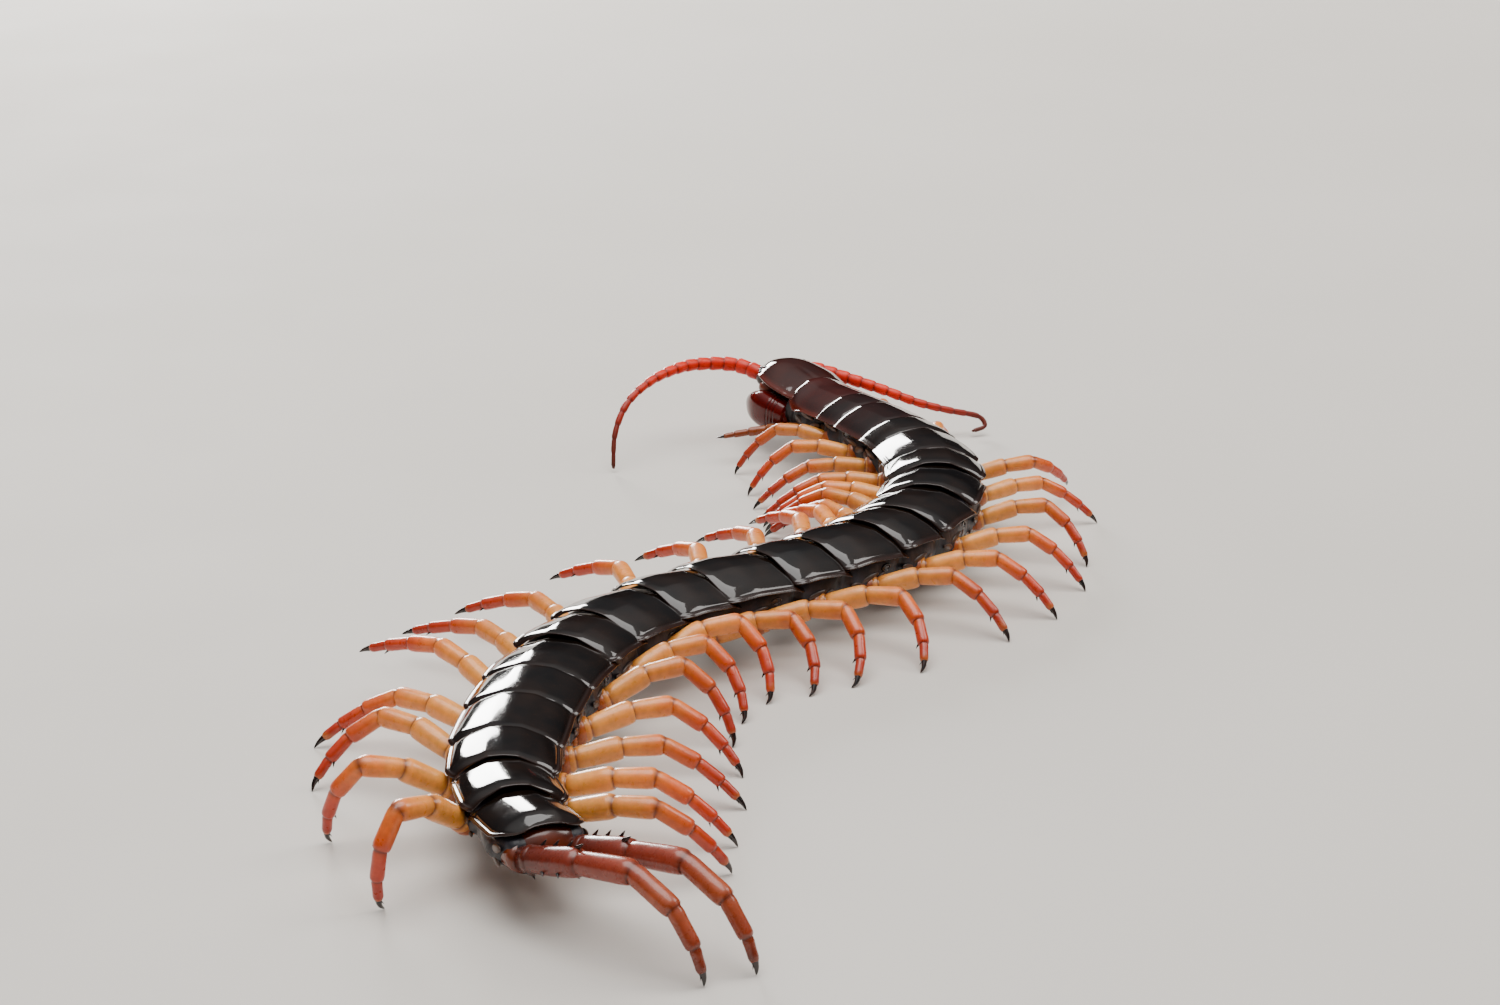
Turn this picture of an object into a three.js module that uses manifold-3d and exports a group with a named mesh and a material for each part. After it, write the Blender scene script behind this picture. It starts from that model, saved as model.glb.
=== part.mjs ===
import * as THREE from "three";
import { mergeVertices } from "three/addons/utils/BufferGeometryUtils.js";
import Module from "manifold-3d";

const wasm = await Module();
wasm.setup();

// A giant centipede at life size, walking over a level floor with its body bent like an S.
// Lengths are millimetres and angles are degrees. +Z is up, the head lies towards +Y, the floor is z = 0.
// The plan point that becomes the origin, so that the model's box is centred on it.
const PLAN_CENTRE = [-1.165, -48.16];

// Gap that neighbouring pieces keep
const GAP = 0.3;

// Trunk: twenty-one segments behind the head
const BODY_LENGTH = 160;
const HEAD_LENGTH = 10;
const TRUNK_HALF_WIDTH = 6.1;
const TRUNK_TOP = 9.46;
const TRUNK_DEPTH = 7.06;
const SEGMENTS_PER_PIECE = 3;
const SEGMENT_LENGTH_SHARES = [
  0.75, 0.45, 0.75, 0.5, 0.85, 0.6, 0.9, 0.95, 0.7, 0.95, 0.75,
  1.0, 0.8, 1.0, 0.8, 1.0, 0.8, 0.95, 0.75, 0.85, 0.85,
];
const SEGMENT_WIDTH_SHARES = [
  0.84, 0.85, 0.88, 0.9, 0.93, 0.95, 0.97, 1, 1, 1, 1,
  1, 1, 1, 0.99, 0.97, 0.95, 0.92, 0.88, 0.82, 0.74,
];
const TERGITE_ARCH = 2.2;
const TERGITE_ARCH_POWER = 2.2;
const TERGITE_RIM = 0.45;
const TERGITE_STEP = 0.42;
const PLEURA_HEIGHT = 5.3;
const TERGITE_PLACES = [0, 0.4, 0.75, 1];
const FLANK_WIDTHS = { shoulder: 0.92, middle: 0.85, sternite: 0.6 };
const STERNITE_BEVEL = 0.15;
// Along a segment: where each section lies, its width and how far it is below the crest
const FRONT_EDGE = { width: 0.9, drop: TERGITE_STEP };
const FRONT_SLOPE = { place: 0.2, width: 0.975, drop: 0.12 };
const REAR_CREST = { place: 0.82, width: 1, drop: 0 };
const REAR_EDGE = { width: 1, drop: 0.02 };

// Way of the body over the floor: where the neck is, and the heading at every third segment
const NECK = [8.4, 18.4];
const HEADINGS = [-36, -26.9, 4.9, 41.5, 49.5, 18.2, 2.1, -25.7];
const SEGMENTS_PER_HEADING = 3;
const WALK_STEPS = 20;
const HEAD_HEADING = -32;

// Walking legs, from the first pair to the twentieth
const LEG_STATION = 0.62;
const HIP_OUT = 0.72;
const HIP_HEIGHT = 1.5;
const LEG_SIDES = 7;
const FOOT_RADIUS = 0.28;
const CLAW_TIP_RADIUS = 0.12;
const LEG_LENGTHS = [
  13, 15.5, 16.3, 16.7, 17, 17.4, 17.9, 18.6, 19.2, 19.8,
  20.2, 20.2, 20.2, 20.2, 20.2, 20.4, 20.6, 20.6, 20.5, 20.6,
];
const LEG_THICKNESS_LENGTH = 18;
// Every article is thickest at this share of its length
const ARTICLE_SWELL_PLACE = 0.72;
const LEG_ARTICLES = [
  { share: 0.1, bend: 0.2, joint: 1.2, swell: 1.15 },
  { share: 0.22, bend: 0, joint: 0.98, swell: 1.08 },
  { share: 0.19, bend: 0.5, joint: 0.86, swell: 0.94 },
  { share: 0.18, bend: 2, joint: 0.74, swell: 0.78 },
  { share: 0.14, bend: 2.5, joint: 0.58, swell: 0.6 },
  { share: 0.1, bend: 2.8, joint: 0.45, swell: 0.44 },
  { share: 0.07, bend: 3.3, joint: 0.33, swell: 0.24 },
];
// Halvings of the search for how far a leg curls
const CURL_HALVINGS = 40;
// Headward sweep of the foot, its distance as a share of the leg's length, its height,
// and how far the knee leans headwards about the line from the root to the foot
const LEG_POSES = {
  left: {
    sweep: [44, 40, 21, 12, 7, 6, 10, 16, 22, 25, 18, 15, 10, 7, 18, 22, 7, 5, -2, -32],
    reach: [
      0.92, 0.8, 0.83, 0.9, 0.91, 0.9, 0.88, 0.88, 0.92, 0.9,
      0.88, 0.86, 0.88, 0.91, 0.95, 0.95, 0.87, 0.75, 0.59, 0.51,
    ],
    lift: [3.3, 0, 0, 0, 0, 0, 0, 0, 2.2, 3.2, 2.8, 2.6, 2.8, 2.4, 3, 4.6, 0, 0, 0, 0],
    lean: [95, 30, 20, 20, 20, 18, 22, 32, 42, 48, 55, 55, 55, 55, 50, 30, 40, 38, -20, -6],
  },
  right: {
    sweep: [50, 50, 50, 55, 12, 13, -4, 15, 20, 25, 10, 11, 17, 21, 13, 11, 6, 1, -12, -21],
    reach: [
      0.74, 0.78, 0.78, 0.8, 0.83, 0.88, 0.77, 0.84, 0.86, 0.84,
      0.74, 0.67, 0.65, 0.6, 0.63, 0.69, 0.81, 0.88, 0.87, 0.8,
    ],
    lift: [0, 0, 0, 0, 1.6, 0, 0, 0, 0, 0, 0, 0, 0, 0, 0, 0, 0, 0, 0, 0],
    lean: [20, 20, 35, 25, -40, 18, 35, 32, 25, 35, 50, 54, 54, 45, 46, 35, 40, 30, 0, -25],
  },
};

// Ultimate legs, which trail behind the last segment
const ULTIMATE_LENGTH = 24.5;
const ULTIMATE_SIDES = 8;
const ULTIMATE_TURN = 27;
const ULTIMATE_REACH = 0.81;
const ULTIMATE_ROOT = { out: 2.45, height: 6.3, radius: 1.35 };
const ULTIMATE_ARTICLES = [
  { share: 0.27, bend: 0, joint: 1.25, swell: 1.4 },
  { share: 0.24, bend: 0.15, joint: 1.15, swell: 1.25 },
  { share: 0.2, bend: 1.3, joint: 1, swell: 1.02 },
  { share: 0.15, bend: 2.2, joint: 0.78, swell: 0.76 },
  { share: 0.09, bend: 2.7, joint: 0.55, swell: 0.5 },
  { share: 0.05, bend: 3.2, joint: 0.36, swell: 0.2 },
];
const PREFEMORAL_SPINE = {
  length: 1.1,
  radius: 0.28,
  sink: 0.85,
  lean: 0.7,
  rows: [0.3, 0.55, 0.8],
  turns: [100, 250],
};
const COXOPLEURA = {
  start: 20.35,
  middle: 0.6,
  end: 21.12,
  radius: 1.4,
  frontRadius: 1,
  frontDrop: 0.6,
  spine: { length: 2.6, radius: 0.5, inward: 1, drop: 1.5 },
};

// Head: distance ahead of the neck, half-width, crest, arch and underside of each section
const HEAD_SECTIONS = [
  [10.4, 1.1, 9.2, 0.4, 7.4],
  [9.9, 2.2, 9.7, 0.7, 6.9],
  [8.8, 3.2, 10.2, 1.1, 6.5],
  [6.9, 4.1, 10.5, 1.4, 6.3],
  [4.2, 4.6, 10.2, 1.4, 6.3],
  [1.8, 4.4, 9.8, 1.4, 6.2],
  [0.52, 4.1, 9.5, 1.3, 6.1],
];
const HEAD_CHEEK_WIDTH = 0.62;
const HEAD_RIM = 0.3;
const OCELLUS_RADIUS = 0.34;
// An ocellus lies this share of the arch below the crest
const OCELLUS_DROP = 0.85;
const OCELLI = [[8.3, 3.15], [7.6, 3.6], [7.7, 2.85], [8.9, 2.65]];

// Antennae: eighteen articles along a curve through a few points
const ANTENNA_ARTICLES = 18;
const ANTENNA_SIDES = 7;
const ANTENNA_RADII = [1.08, 0.25];
const ANTENNA_JOINT = 0.86;
const ANTENNA_SWELL_PLACE = 0.7;
const ANTENNA_TIP = 0.6;
const ANTENNA_WAYS = {
  left: [
    [2.6, 24.4, 7.6], [0.9, 26, 8.3], [-2.2, 27.4, 8.9], [-6.5, 25.8, 9.4], [-9.5, 23, 9.5],
    [-12.5, 19.5, 8.9], [-15, 16, 7.3], [-16.4, 13.4, 4.3], [-16.6, 11.3, 0.5],
  ],
  right: [
    [4.6, 25.9, 7.6], [5, 27.9, 8.1], [8, 29.5, 7.7], [13, 28.2, 6.6], [17, 26.9, 5.6],
    [21, 26.1, 4.3], [25, 26, 3.3], [28.6, 26.8, 2.3], [29.4, 26.2, 1.2], [27.8, 25.3, 0.8],
  ],
};

// Mouthparts, as places to the side, ahead of the neck and above the floor, with two radii
const FORCIPULE_WAY = [
  [3.5, 1.3, 5, 1.7, 1.9],
  [4.2, 3.4, 5.2, 1.75, 2.2],
  [4.5, 5.5, 5.3, 1.65, 2.2],
  [4.3, 7.3, 5.1, 1.35, 1.8],
  [3.7, 8.6, 4.7, 1.05, 1.2],
  [2.6, 9.7, 4.5, 0.8, 0.8],
  [1.4, 10.2, 4.3, 0.5, 0.5],
  [0.4, 10, 4.1, 0.14, 0.14],
];
const COXOSTERNITE_SECTIONS = [
  [6.3, 2.1, 3.9, 0.6],
  [5.2, 2.9, 4.1, 1],
  [3.6, 3.9, 4.3, 1.3],
  [1.8, 4.9, 4.7, 1.7],
  [0.52, 5, 4.8, 1.8],
];
const COXOSTERNITE_SIDES = 12;
const COXOSTERNITE_SQUARENESS = 0.6;
const TOOTH = { length: 1, radius: 0.34, sink: 0.3, places: [0.55, 1.05, 1.55, 2] };
const PALP_WAY = [
  [0.35, 6.5, 5.2, 0.62, 0.62],
  [1.15, 7.5, 5.15, 0.62, 0.62],
  [1.05, 8.4, 4.95, 0.45, 0.45],
  [0.85, 9, 4.7, 0.22, 0.22],
];

// Small spines: how many sides they have, and the tip's share of the root's radius
const SPIKE_SIDES = 5;
const SPIKE_TIP = 0.2;
const PALP_SIDES = 7;
const FORCIPULE_SIDES = 10;
// Room that an antenna keeps from the head, in gaps
const ANTENNA_ROOM = 1.5;

const UP = new THREE.Vector3(0, 0, 1);
const SIDE_SIGNS = { left: -1, right: 1 };

const shareSum = SEGMENT_LENGTH_SHARES.reduce((sum, share) => sum + share, 0);
const segmentLengths = SEGMENT_LENGTH_SHARES.map(
  (share) => (share * (BODY_LENGTH - HEAD_LENGTH)) / shareSum,
);

function vector(x, y, z) {
  return new THREE.Vector3(x, y, z);
}

function radians(degrees) {
  return THREE.MathUtils.degToRad(degrees);
}

function mix(a, b, t) {
  return THREE.MathUtils.lerp(a, b, t);
}

// Level directions of a heading, which turns from +Y towards +X
function levelFrame(heading) {
  return {
    forward: vector(Math.sin(heading), Math.cos(heading), 0),
    right: vector(Math.cos(heading), -Math.sin(heading), 0),
  };
}

// Smooth value between evenly spaced keys
function smoothValue(keys, place) {
  const first = Math.min(Math.floor(place), keys.length - 2);
  const t = place - first;
  const key = (i) => keys[THREE.MathUtils.clamp(i, 0, keys.length - 1)];
  const slopeIn = (key(first + 1) - key(first - 1)) / 2;
  const slopeOut = (key(first + 2) - key(first)) / 2;
  const start = (2 * t ** 3 - 3 * t * t + 1) * key(first) + (t ** 3 - 2 * t * t + t) * slopeIn;
  return start + (3 * t * t - 2 * t ** 3) * key(first + 1) + (t ** 3 - t * t) * slopeOut;
}

function headingAt(station) {
  return radians(smoothValue(HEADINGS, station / SEGMENTS_PER_HEADING));
}

// Points of the body's axis on the floor, walked backwards from the neck
function walkBody() {
  const points = [vector(NECK[0], NECK[1], 0)];
  segmentLengths.forEach((length, segment) => {
    for (let step = 0; step < WALK_STEPS; step++) {
      const { forward } = levelFrame(headingAt(segment + (step + 0.5) / WALK_STEPS));
      points.push(points.at(-1).clone().addScaledVector(forward, -length / WALK_STEPS));
    }
  });
  return points;
}

const bodyPath = walkBody();

// Place and directions at a station, which counts segments from the neck
function bodyAt(station) {
  const place = station * WALK_STEPS;
  const first = THREE.MathUtils.clamp(Math.floor(place), 0, bodyPath.length - 2);
  const centre = bodyPath[first].clone().lerp(bodyPath[first + 1], place - first);
  return { centre, ...levelFrame(headingAt(Math.min(station, segmentLengths.length))) };
}

// Point beside, ahead of and above the neck, in the directions of the head
function headPoint(side, ahead, height) {
  const { forward, right } = levelFrame(radians(HEAD_HEADING));
  return vector(NECK[0], NECK[1], height).addScaledVector(right, side).addScaledVector(forward, ahead);
}

// Closed skin over rings of equally many points, with a flat fan at both ends
function loft(rings) {
  const count = rings[0].length;
  const points = rings.flat();
  const faces = [];
  for (let ring = 0; ring + 1 < rings.length; ring++) {
    for (let i = 0; i < count; i++) {
      const a = ring * count + i;
      const b = ring * count + ((i + 1) % count);
      faces.push(a, b, b + count, a, b + count, a + count);
    }
  }
  const lastRing = (rings.length - 1) * count;
  const capCentres = [rings[0], rings.at(-1)].map((ring) =>
    ring.reduce((sum, point) => sum.add(point), vector(0, 0, 0)).divideScalar(count),
  );
  points.push(...capCentres);
  for (let i = 0; i < count; i++) {
    const next = (i + 1) % count;
    faces.push(points.length - 2, next, i);
    faces.push(points.length - 1, lastRing + i, lastRing + next);
  }
  const geometry = new THREE.BufferGeometry().setFromPoints(points);
  geometry.setIndex(faces);
  return geometry;
}

// Round or oval body through stops, each with a centre, two radii and, if given, its own direction
function tube(stops, sides, levelSide = null) {
  const rings = stops.map((stop, i) => {
    const before = stops[Math.max(i - 1, 0)].at;
    const after = stops[Math.min(i + 1, stops.length - 1)].at;
    const arriving = stop.at.clone().sub(before).normalize();
    const leaving = after.clone().sub(stop.at).normalize();
    const along = stop.along ?? arriving.add(leaving).normalize();
    const side = (levelSide ?? UP.clone().cross(along)).clone().projectOnPlane(along).normalize();
    const upright = along.clone().cross(side).normalize();
    return Array.from({ length: sides }, (_, k) => {
      const turn = (2 * Math.PI * (k + 0.5)) / sides;
      return stop.at
        .clone()
        .addScaledVector(side, stop.radius * Math.cos(turn))
        .addScaledVector(upright, (stop.height ?? stop.radius) * Math.sin(turn));
    });
  });
  return loft(rings);
}

// Small pointed cone with its root sunk into what it grows from
function spike(root, direction, length, radius) {
  const tip = root.clone().addScaledVector(direction, length);
  return tube([{ at: root, radius }, { at: tip, radius: SPIKE_TIP * radius }], SPIKE_SIDES);
}

function solidOf(geometry) {
  const bare = geometry.clone();
  bare.deleteAttribute("normal");
  bare.deleteAttribute("uv");
  const merged = mergeVertices(bare, 1e-4);
  return new wasm.Manifold(
    new wasm.Mesh({
      numProp: 3,
      vertProperties: new Float32Array(merged.attributes.position.array),
      triVerts: new Uint32Array(merged.index.array),
    }),
  );
}

function joined(geometries) {
  return geometries.map(solidOf).reduce((sum, solid) => sum.add(solid));
}

// Named mesh of a solid's largest closed surface
function meshOf(name, solid, material) {
  const largest = solid.decompose().reduce((a, b) => (b.volume() > a.volume() ? b : a));
  const { vertProperties, triVerts } = largest.getMesh();
  const geometry = new THREE.BufferGeometry();
  geometry.setAttribute("position", new THREE.BufferAttribute(vertProperties, 3));
  geometry.setIndex(new THREE.BufferAttribute(triVerts, 1));
  geometry.computeVertexNormals();
  const mesh = new THREE.Mesh(geometry, material.clone());
  mesh.name = name;
  mesh.position.set(-PLAN_CENTRE[0], -PLAN_CENTRE[1], 0);
  return mesh;
}

// Trunk section at a station: a tergite over narrower flanks and a flat sternite.
// A front section is narrow and low, where the plate ahead covers it.
function trunkRing(segment, share, form, grow) {
  const { centre, right } = bodyAt(segment + share);
  const half = TRUNK_HALF_WIDTH * SEGMENT_WIDTH_SHARES[segment];
  const plateHalf = half * form.width;
  const flankHalf = (half * (1 + form.width)) / 2;
  const crest = TRUNK_TOP - form.drop;
  const floor = undersideOf(segment);
  const plate = TERGITE_PLACES.map((place) => [
    place * (plateHalf + grow),
    crest + grow - TERGITE_ARCH * place ** TERGITE_ARCH_POWER,
  ]);
  const flank = [
    [FLANK_WIDTHS.shoulder * flankHalf + grow, crest - TERGITE_ARCH - TERGITE_RIM - grow],
    [FLANK_WIDTHS.middle * flankHalf + grow, PLEURA_HEIGHT],
    [FLANK_WIDTHS.sternite * flankHalf + grow, floor + STERNITE_BEVEL - grow],
    [0, floor - grow],
  ];
  const rightSide = [...plate, ...flank];
  const leftSide = rightSide.slice(1, -1).map(([out, height]) => [-out, height]);
  // The ring runs from the right side over the crest to the left side
  const outline = [...rightSide.slice(1).reverse(), rightSide[0], ...leftSide];
  return outline.map(([out, height]) => centre.clone().addScaledVector(right, out).setZ(height));
}

function undersideOf(segment) {
  return TRUNK_TOP - TRUNK_DEPTH * SEGMENT_WIDTH_SHARES[segment];
}

// Rings of a run of segments: every tergite rises from a low front to a proud rear edge
function trunkLength(first, last, grow = 0) {
  const rings = [];
  for (let segment = first; segment < last; segment++) {
    const edge = GAP / 2 / segmentLengths[segment];
    rings.push(trunkRing(segment, edge, FRONT_EDGE, grow));
    rings.push(trunkRing(segment, FRONT_SLOPE.place, FRONT_SLOPE, grow));
    rings.push(trunkRing(segment, REAR_CREST.place, REAR_CREST, grow));
    rings.push(trunkRing(segment, 1 - edge, REAR_EDGE, grow));
  }
  return loft(rings);
}

// Joint points of a leg in its own upright plane, bent so that the last one lands on the target
function legChain(articles, length, out, down) {
  const place = (curl) => {
    const points = [new THREE.Vector2(0, 0)];
    for (const { share, bend } of articles) {
      const step = new THREE.Vector2(share * length, 0).rotateAround(new THREE.Vector2(), -curl * bend);
      points.push(points.at(-1).clone().add(step));
    }
    return points;
  };
  const target = new THREE.Vector2(out, down);
  let low = 0;
  let high = 1;
  for (let halving = 0; halving < CURL_HALVINGS; halving++) {
    const middle = (low + high) / 2;
    if (place(middle).at(-1).length() > target.length()) low = middle;
    else high = middle;
  }
  const points = place(low);
  const turn = Math.atan2(down, out) - points.at(-1).angle();
  return points.map((point) => point.rotateAround(new THREE.Vector2(), turn));
}

// Plane of a leg, which leans about the line from the root to the foot
function legPlane(chain, root, outward, lean) {
  const away = (point) => vector(0, 0, point.y).addScaledVector(outward, point.x);
  const axis = away(chain.at(-1)).normalize();
  return {
    place: (point) => away(point).applyAxisAngle(axis, lean).add(root),
    side: UP.clone().cross(outward).applyAxisAngle(axis, lean),
  };
}

// Stops of a leg: a narrow joint and a wider far end for every article, then the foot
function legStops(articles, chain, place, thickness, foot) {
  const stops = articles.flatMap(({ joint, swell }, i) => [
    { at: place(chain[i]), radius: joint * thickness },
    { at: place(chain[i].clone().lerp(chain[i + 1], ARTICLE_SWELL_PLACE)), radius: swell * thickness },
  ]);
  const along = foot.flat ? UP.clone().negate() : undefined;
  stops.push({ at: place(chain.at(-1)), radius: foot.radius, along });
  return stops;
}

function walkingLeg(sideName, segment, trunkClearance) {
  const sign = SIDE_SIGNS[sideName];
  const pose = LEG_POSES[sideName];
  const length = LEG_LENGTHS[segment];
  const { centre, forward, right } = bodyAt(segment + LEG_STATION);
  const half = TRUNK_HALF_WIDTH * SEGMENT_WIDTH_SHARES[segment];
  const height = undersideOf(segment) + HIP_HEIGHT;
  const root = centre.addScaledVector(right, sign * HIP_OUT * half).setZ(height);
  const sweep = radians(pose.sweep[segment]);
  const outward = right.multiplyScalar(sign * Math.cos(sweep)).addScaledVector(forward, Math.sin(sweep));
  const lift = pose.lift[segment];
  const chain = legChain(LEG_ARTICLES, length, pose.reach[segment] * length, lift - height);
  const { place, side } = legPlane(chain, root, outward, -sign * radians(pose.lean[segment]));
  const foot = { radius: lift > 0 ? CLAW_TIP_RADIUS : FOOT_RADIUS, flat: lift === 0 };
  const thickness = length / LEG_THICKNESS_LENGTH;
  const stops = legStops(LEG_ARTICLES, chain, place, thickness, foot);
  return solidOf(tube(stops, LEG_SIDES, side)).subtract(trunkClearance);
}

// Direction and plan of an ultimate leg, which starts on the rear face of its coxopleura
function ultimatePlan(sideName) {
  const { centre, forward, right } = bodyAt(COXOPLEURA.end);
  const out = SIDE_SIGNS[sideName] * ULTIMATE_ROOT.out;
  const root = centre.addScaledVector(right, out).setZ(ULTIMATE_ROOT.height);
  const outward = forward.clone().negate().applyAxisAngle(UP, radians(ULTIMATE_TURN));
  const chain = legChain(ULTIMATE_ARTICLES, ULTIMATE_LENGTH, ULTIMATE_REACH * ULTIMATE_LENGTH, -root.z);
  const start = chain[1].clone().normalize();
  const along = outward.clone().multiplyScalar(start.x).addScaledVector(UP, start.y);
  return { root, outward, chain, along };
}

function coxopleura(sideName) {
  const sign = SIDE_SIGNS[sideName];
  const { root, along } = ultimatePlan(sideName);
  const front = bodyAt(COXOPLEURA.start);
  const frontCentre = front.centre
    .addScaledVector(front.right, sign * ULTIMATE_ROOT.out)
    .setZ(root.z - COXOPLEURA.frontDrop);
  const middle = frontCentre.clone().lerp(root, COXOPLEURA.middle);
  const face = root.clone().addScaledVector(along, -GAP);
  const body = tube(
    [
      { at: frontCentre, radius: COXOPLEURA.frontRadius },
      { at: middle, radius: COXOPLEURA.radius },
      { at: face, radius: ULTIMATE_ROOT.radius, along },
    ],
    ULTIMATE_SIDES,
  );
  const { length, radius, inward, drop } = COXOPLEURA.spine;
  const process = middle.clone().addScaledVector(front.right, -sign * inward).setZ(root.z - drop);
  return [body, spike(process, front.forward.clone().negate(), length, radius)];
}

function ultimateLeg(sideName) {
  const { root, outward, chain, along } = ultimatePlan(sideName);
  const { place, side } = legPlane(chain, root, outward, 0);
  const stops = legStops(ULTIMATE_ARTICLES, chain, place, 1, { radius: FOOT_RADIUS, flat: true });
  stops[0].along = along;
  const spines = PREFEMORAL_SPINE.rows.flatMap((share) =>
    PREFEMORAL_SPINE.turns.map((turn) => {
      const centre = place(chain[0].clone().lerp(chain[1], share));
      const away = side.clone().applyAxisAngle(along, radians(turn));
      const direction = away.clone().addScaledVector(along, PREFEMORAL_SPINE.lean).normalize();
      const surface = centre.addScaledVector(away, PREFEMORAL_SPINE.sink);
      return spike(surface, direction, PREFEMORAL_SPINE.length, PREFEMORAL_SPINE.radius);
    }),
  );
  return joined([tube(stops, ULTIMATE_SIDES, side), ...spines]);
}

// Head capsule: an arched plate over narrower cheeks, listed from the front to the neck
function headCapsule(grow = 0) {
  const rings = HEAD_SECTIONS.map(([ahead, halfWidth, crest, arch, underside], i) => {
    const half = halfWidth + grow;
    const stretch = i === 0 ? grow : i === HEAD_SECTIONS.length - 1 ? -grow : 0;
    const plate = TERGITE_PLACES.map((place) => [
      place * half,
      crest + grow - arch * place ** TERGITE_ARCH_POWER,
    ]);
    const halfRing = [
      [0, underside - grow],
      [HEAD_CHEEK_WIDTH * half, underside - grow],
      [half, crest - arch - HEAD_RIM - grow],
      ...plate.reverse(),
    ];
    const otherHalf = halfRing.slice(1, -1).reverse().map(([side, height]) => [-side, height]);
    return [...halfRing, ...otherHalf].map(([side, height]) => headPoint(side, ahead + stretch, height));
  });
  return loft(rings);
}

// Ocellus as a small ball, half sunk in the margin of the head
function ocellus(ahead, side) {
  const ball = new THREE.IcosahedronGeometry(OCELLUS_RADIUS);
  const section = HEAD_SECTIONS.findIndex(([place]) => place <= ahead);
  const [farAhead, , farCrest, farArch] = HEAD_SECTIONS[section - 1];
  const [nearAhead, , nearCrest, nearArch] = HEAD_SECTIONS[section];
  const t = (ahead - nearAhead) / (farAhead - nearAhead);
  const height = mix(nearCrest, farCrest, t) - mix(nearArch, farArch, t) * OCELLUS_DROP;
  const { x, y, z } = headPoint(side, ahead, height);
  return ball.translate(x, y, z);
}

function head() {
  const eyes = OCELLI.flatMap(([ahead, side]) => [ocellus(ahead, side), ocellus(ahead, -side)]);
  return joined([headCapsule(), ...eyes]);
}

// Antenna of tapering articles, each wider at its far end
function antenna(sideName) {
  const curve = new THREE.CatmullRomCurve3(ANTENNA_WAYS[sideName].map((point) => vector(...point)));
  const stops = [];
  for (let article = 0; article < ANTENNA_ARTICLES; article++) {
    const start = article / ANTENNA_ARTICLES;
    const end = (article + ANTENNA_SWELL_PLACE) / ANTENNA_ARTICLES;
    stops.push({ at: curve.getPointAt(start), radius: ANTENNA_JOINT * mix(...ANTENNA_RADII, start) });
    stops.push({ at: curve.getPointAt(end), radius: mix(...ANTENNA_RADII, end) });
  }
  stops.push({ at: curve.getPointAt(1), radius: ANTENNA_TIP * ANTENNA_RADII[1] });
  return solidOf(tube(stops, ANTENNA_SIDES)).subtract(solidOf(headCapsule(ANTENNA_ROOM * GAP)));
}

function wayStops(way, sign) {
  return way.map(([side, ahead, height, radius, halfHeight]) => ({
    at: headPoint(sign * side, ahead, height),
    radius,
    height: halfHeight,
  }));
}

// Plate under the head that carries the poison claws, listed from the front to the neck
function coxosternitePlate(grow = 0) {
  const squared = (value) => Math.sign(value) * Math.abs(value) ** COXOSTERNITE_SQUARENESS;
  const rings = COXOSTERNITE_SECTIONS.map(([ahead, halfWidth, height, halfHeight], i) => {
    const stretch = i === 0 ? grow : i === COXOSTERNITE_SECTIONS.length - 1 ? -grow : 0;
    return Array.from({ length: COXOSTERNITE_SIDES }, (_, k) => {
      const turn = (2 * Math.PI * (k + 0.5)) / COXOSTERNITE_SIDES;
      const side = squared(Math.cos(turn)) * (halfWidth + grow);
      const rise = squared(Math.sin(turn)) * (halfHeight + grow);
      return headPoint(side, ahead + stretch, height + rise);
    });
  });
  return loft(rings);
}

function coxosternite() {
  const [frontAhead, , frontHeight] = COXOSTERNITE_SECTIONS[0];
  const { forward } = levelFrame(radians(HEAD_HEADING));
  const teeth = TOOTH.places.flatMap((place) =>
    [-place, place].map((side) => {
      const root = headPoint(side, frontAhead - TOOTH.sink, frontHeight);
      return spike(root, forward, TOOTH.length, TOOTH.radius);
    }),
  );
  return joined([coxosternitePlate(), ...teeth]).subtract(solidOf(headCapsule(GAP)));
}

function forcipule(sideName) {
  const stops = wayStops(FORCIPULE_WAY, SIDE_SIGNS[sideName]);
  return solidOf(tube(stops, FORCIPULE_SIDES))
    .subtract(solidOf(coxosternitePlate(GAP)))
    .subtract(solidOf(headCapsule(GAP)));
}

function maxillae() {
  const palps = [-1, 1].map((sign) => tube(wayStops(PALP_WAY, sign), PALP_SIDES));
  return joined(palps)
    .subtract(solidOf(coxosternitePlate(GAP)))
    .subtract(solidOf(headCapsule(GAP)));
}

const finish = (color, roughness) => new THREE.MeshStandardMaterial({ color, roughness, metalness: 0 });
const materials = {
  head: finish(0x4a1710, 0.25),
  claw: finish(0x5c120c, 0.3),
  mouth: finish(0x8c3a1a, 0.45),
  antenna: finish(0xc93a22, 0.4),
  tergite: finish(0x17100d, 0.18),
  leg: finish(0xd9863f, 0.4),
  ultimate: finish(0x7d2f1c, 0.35),
};

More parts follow.
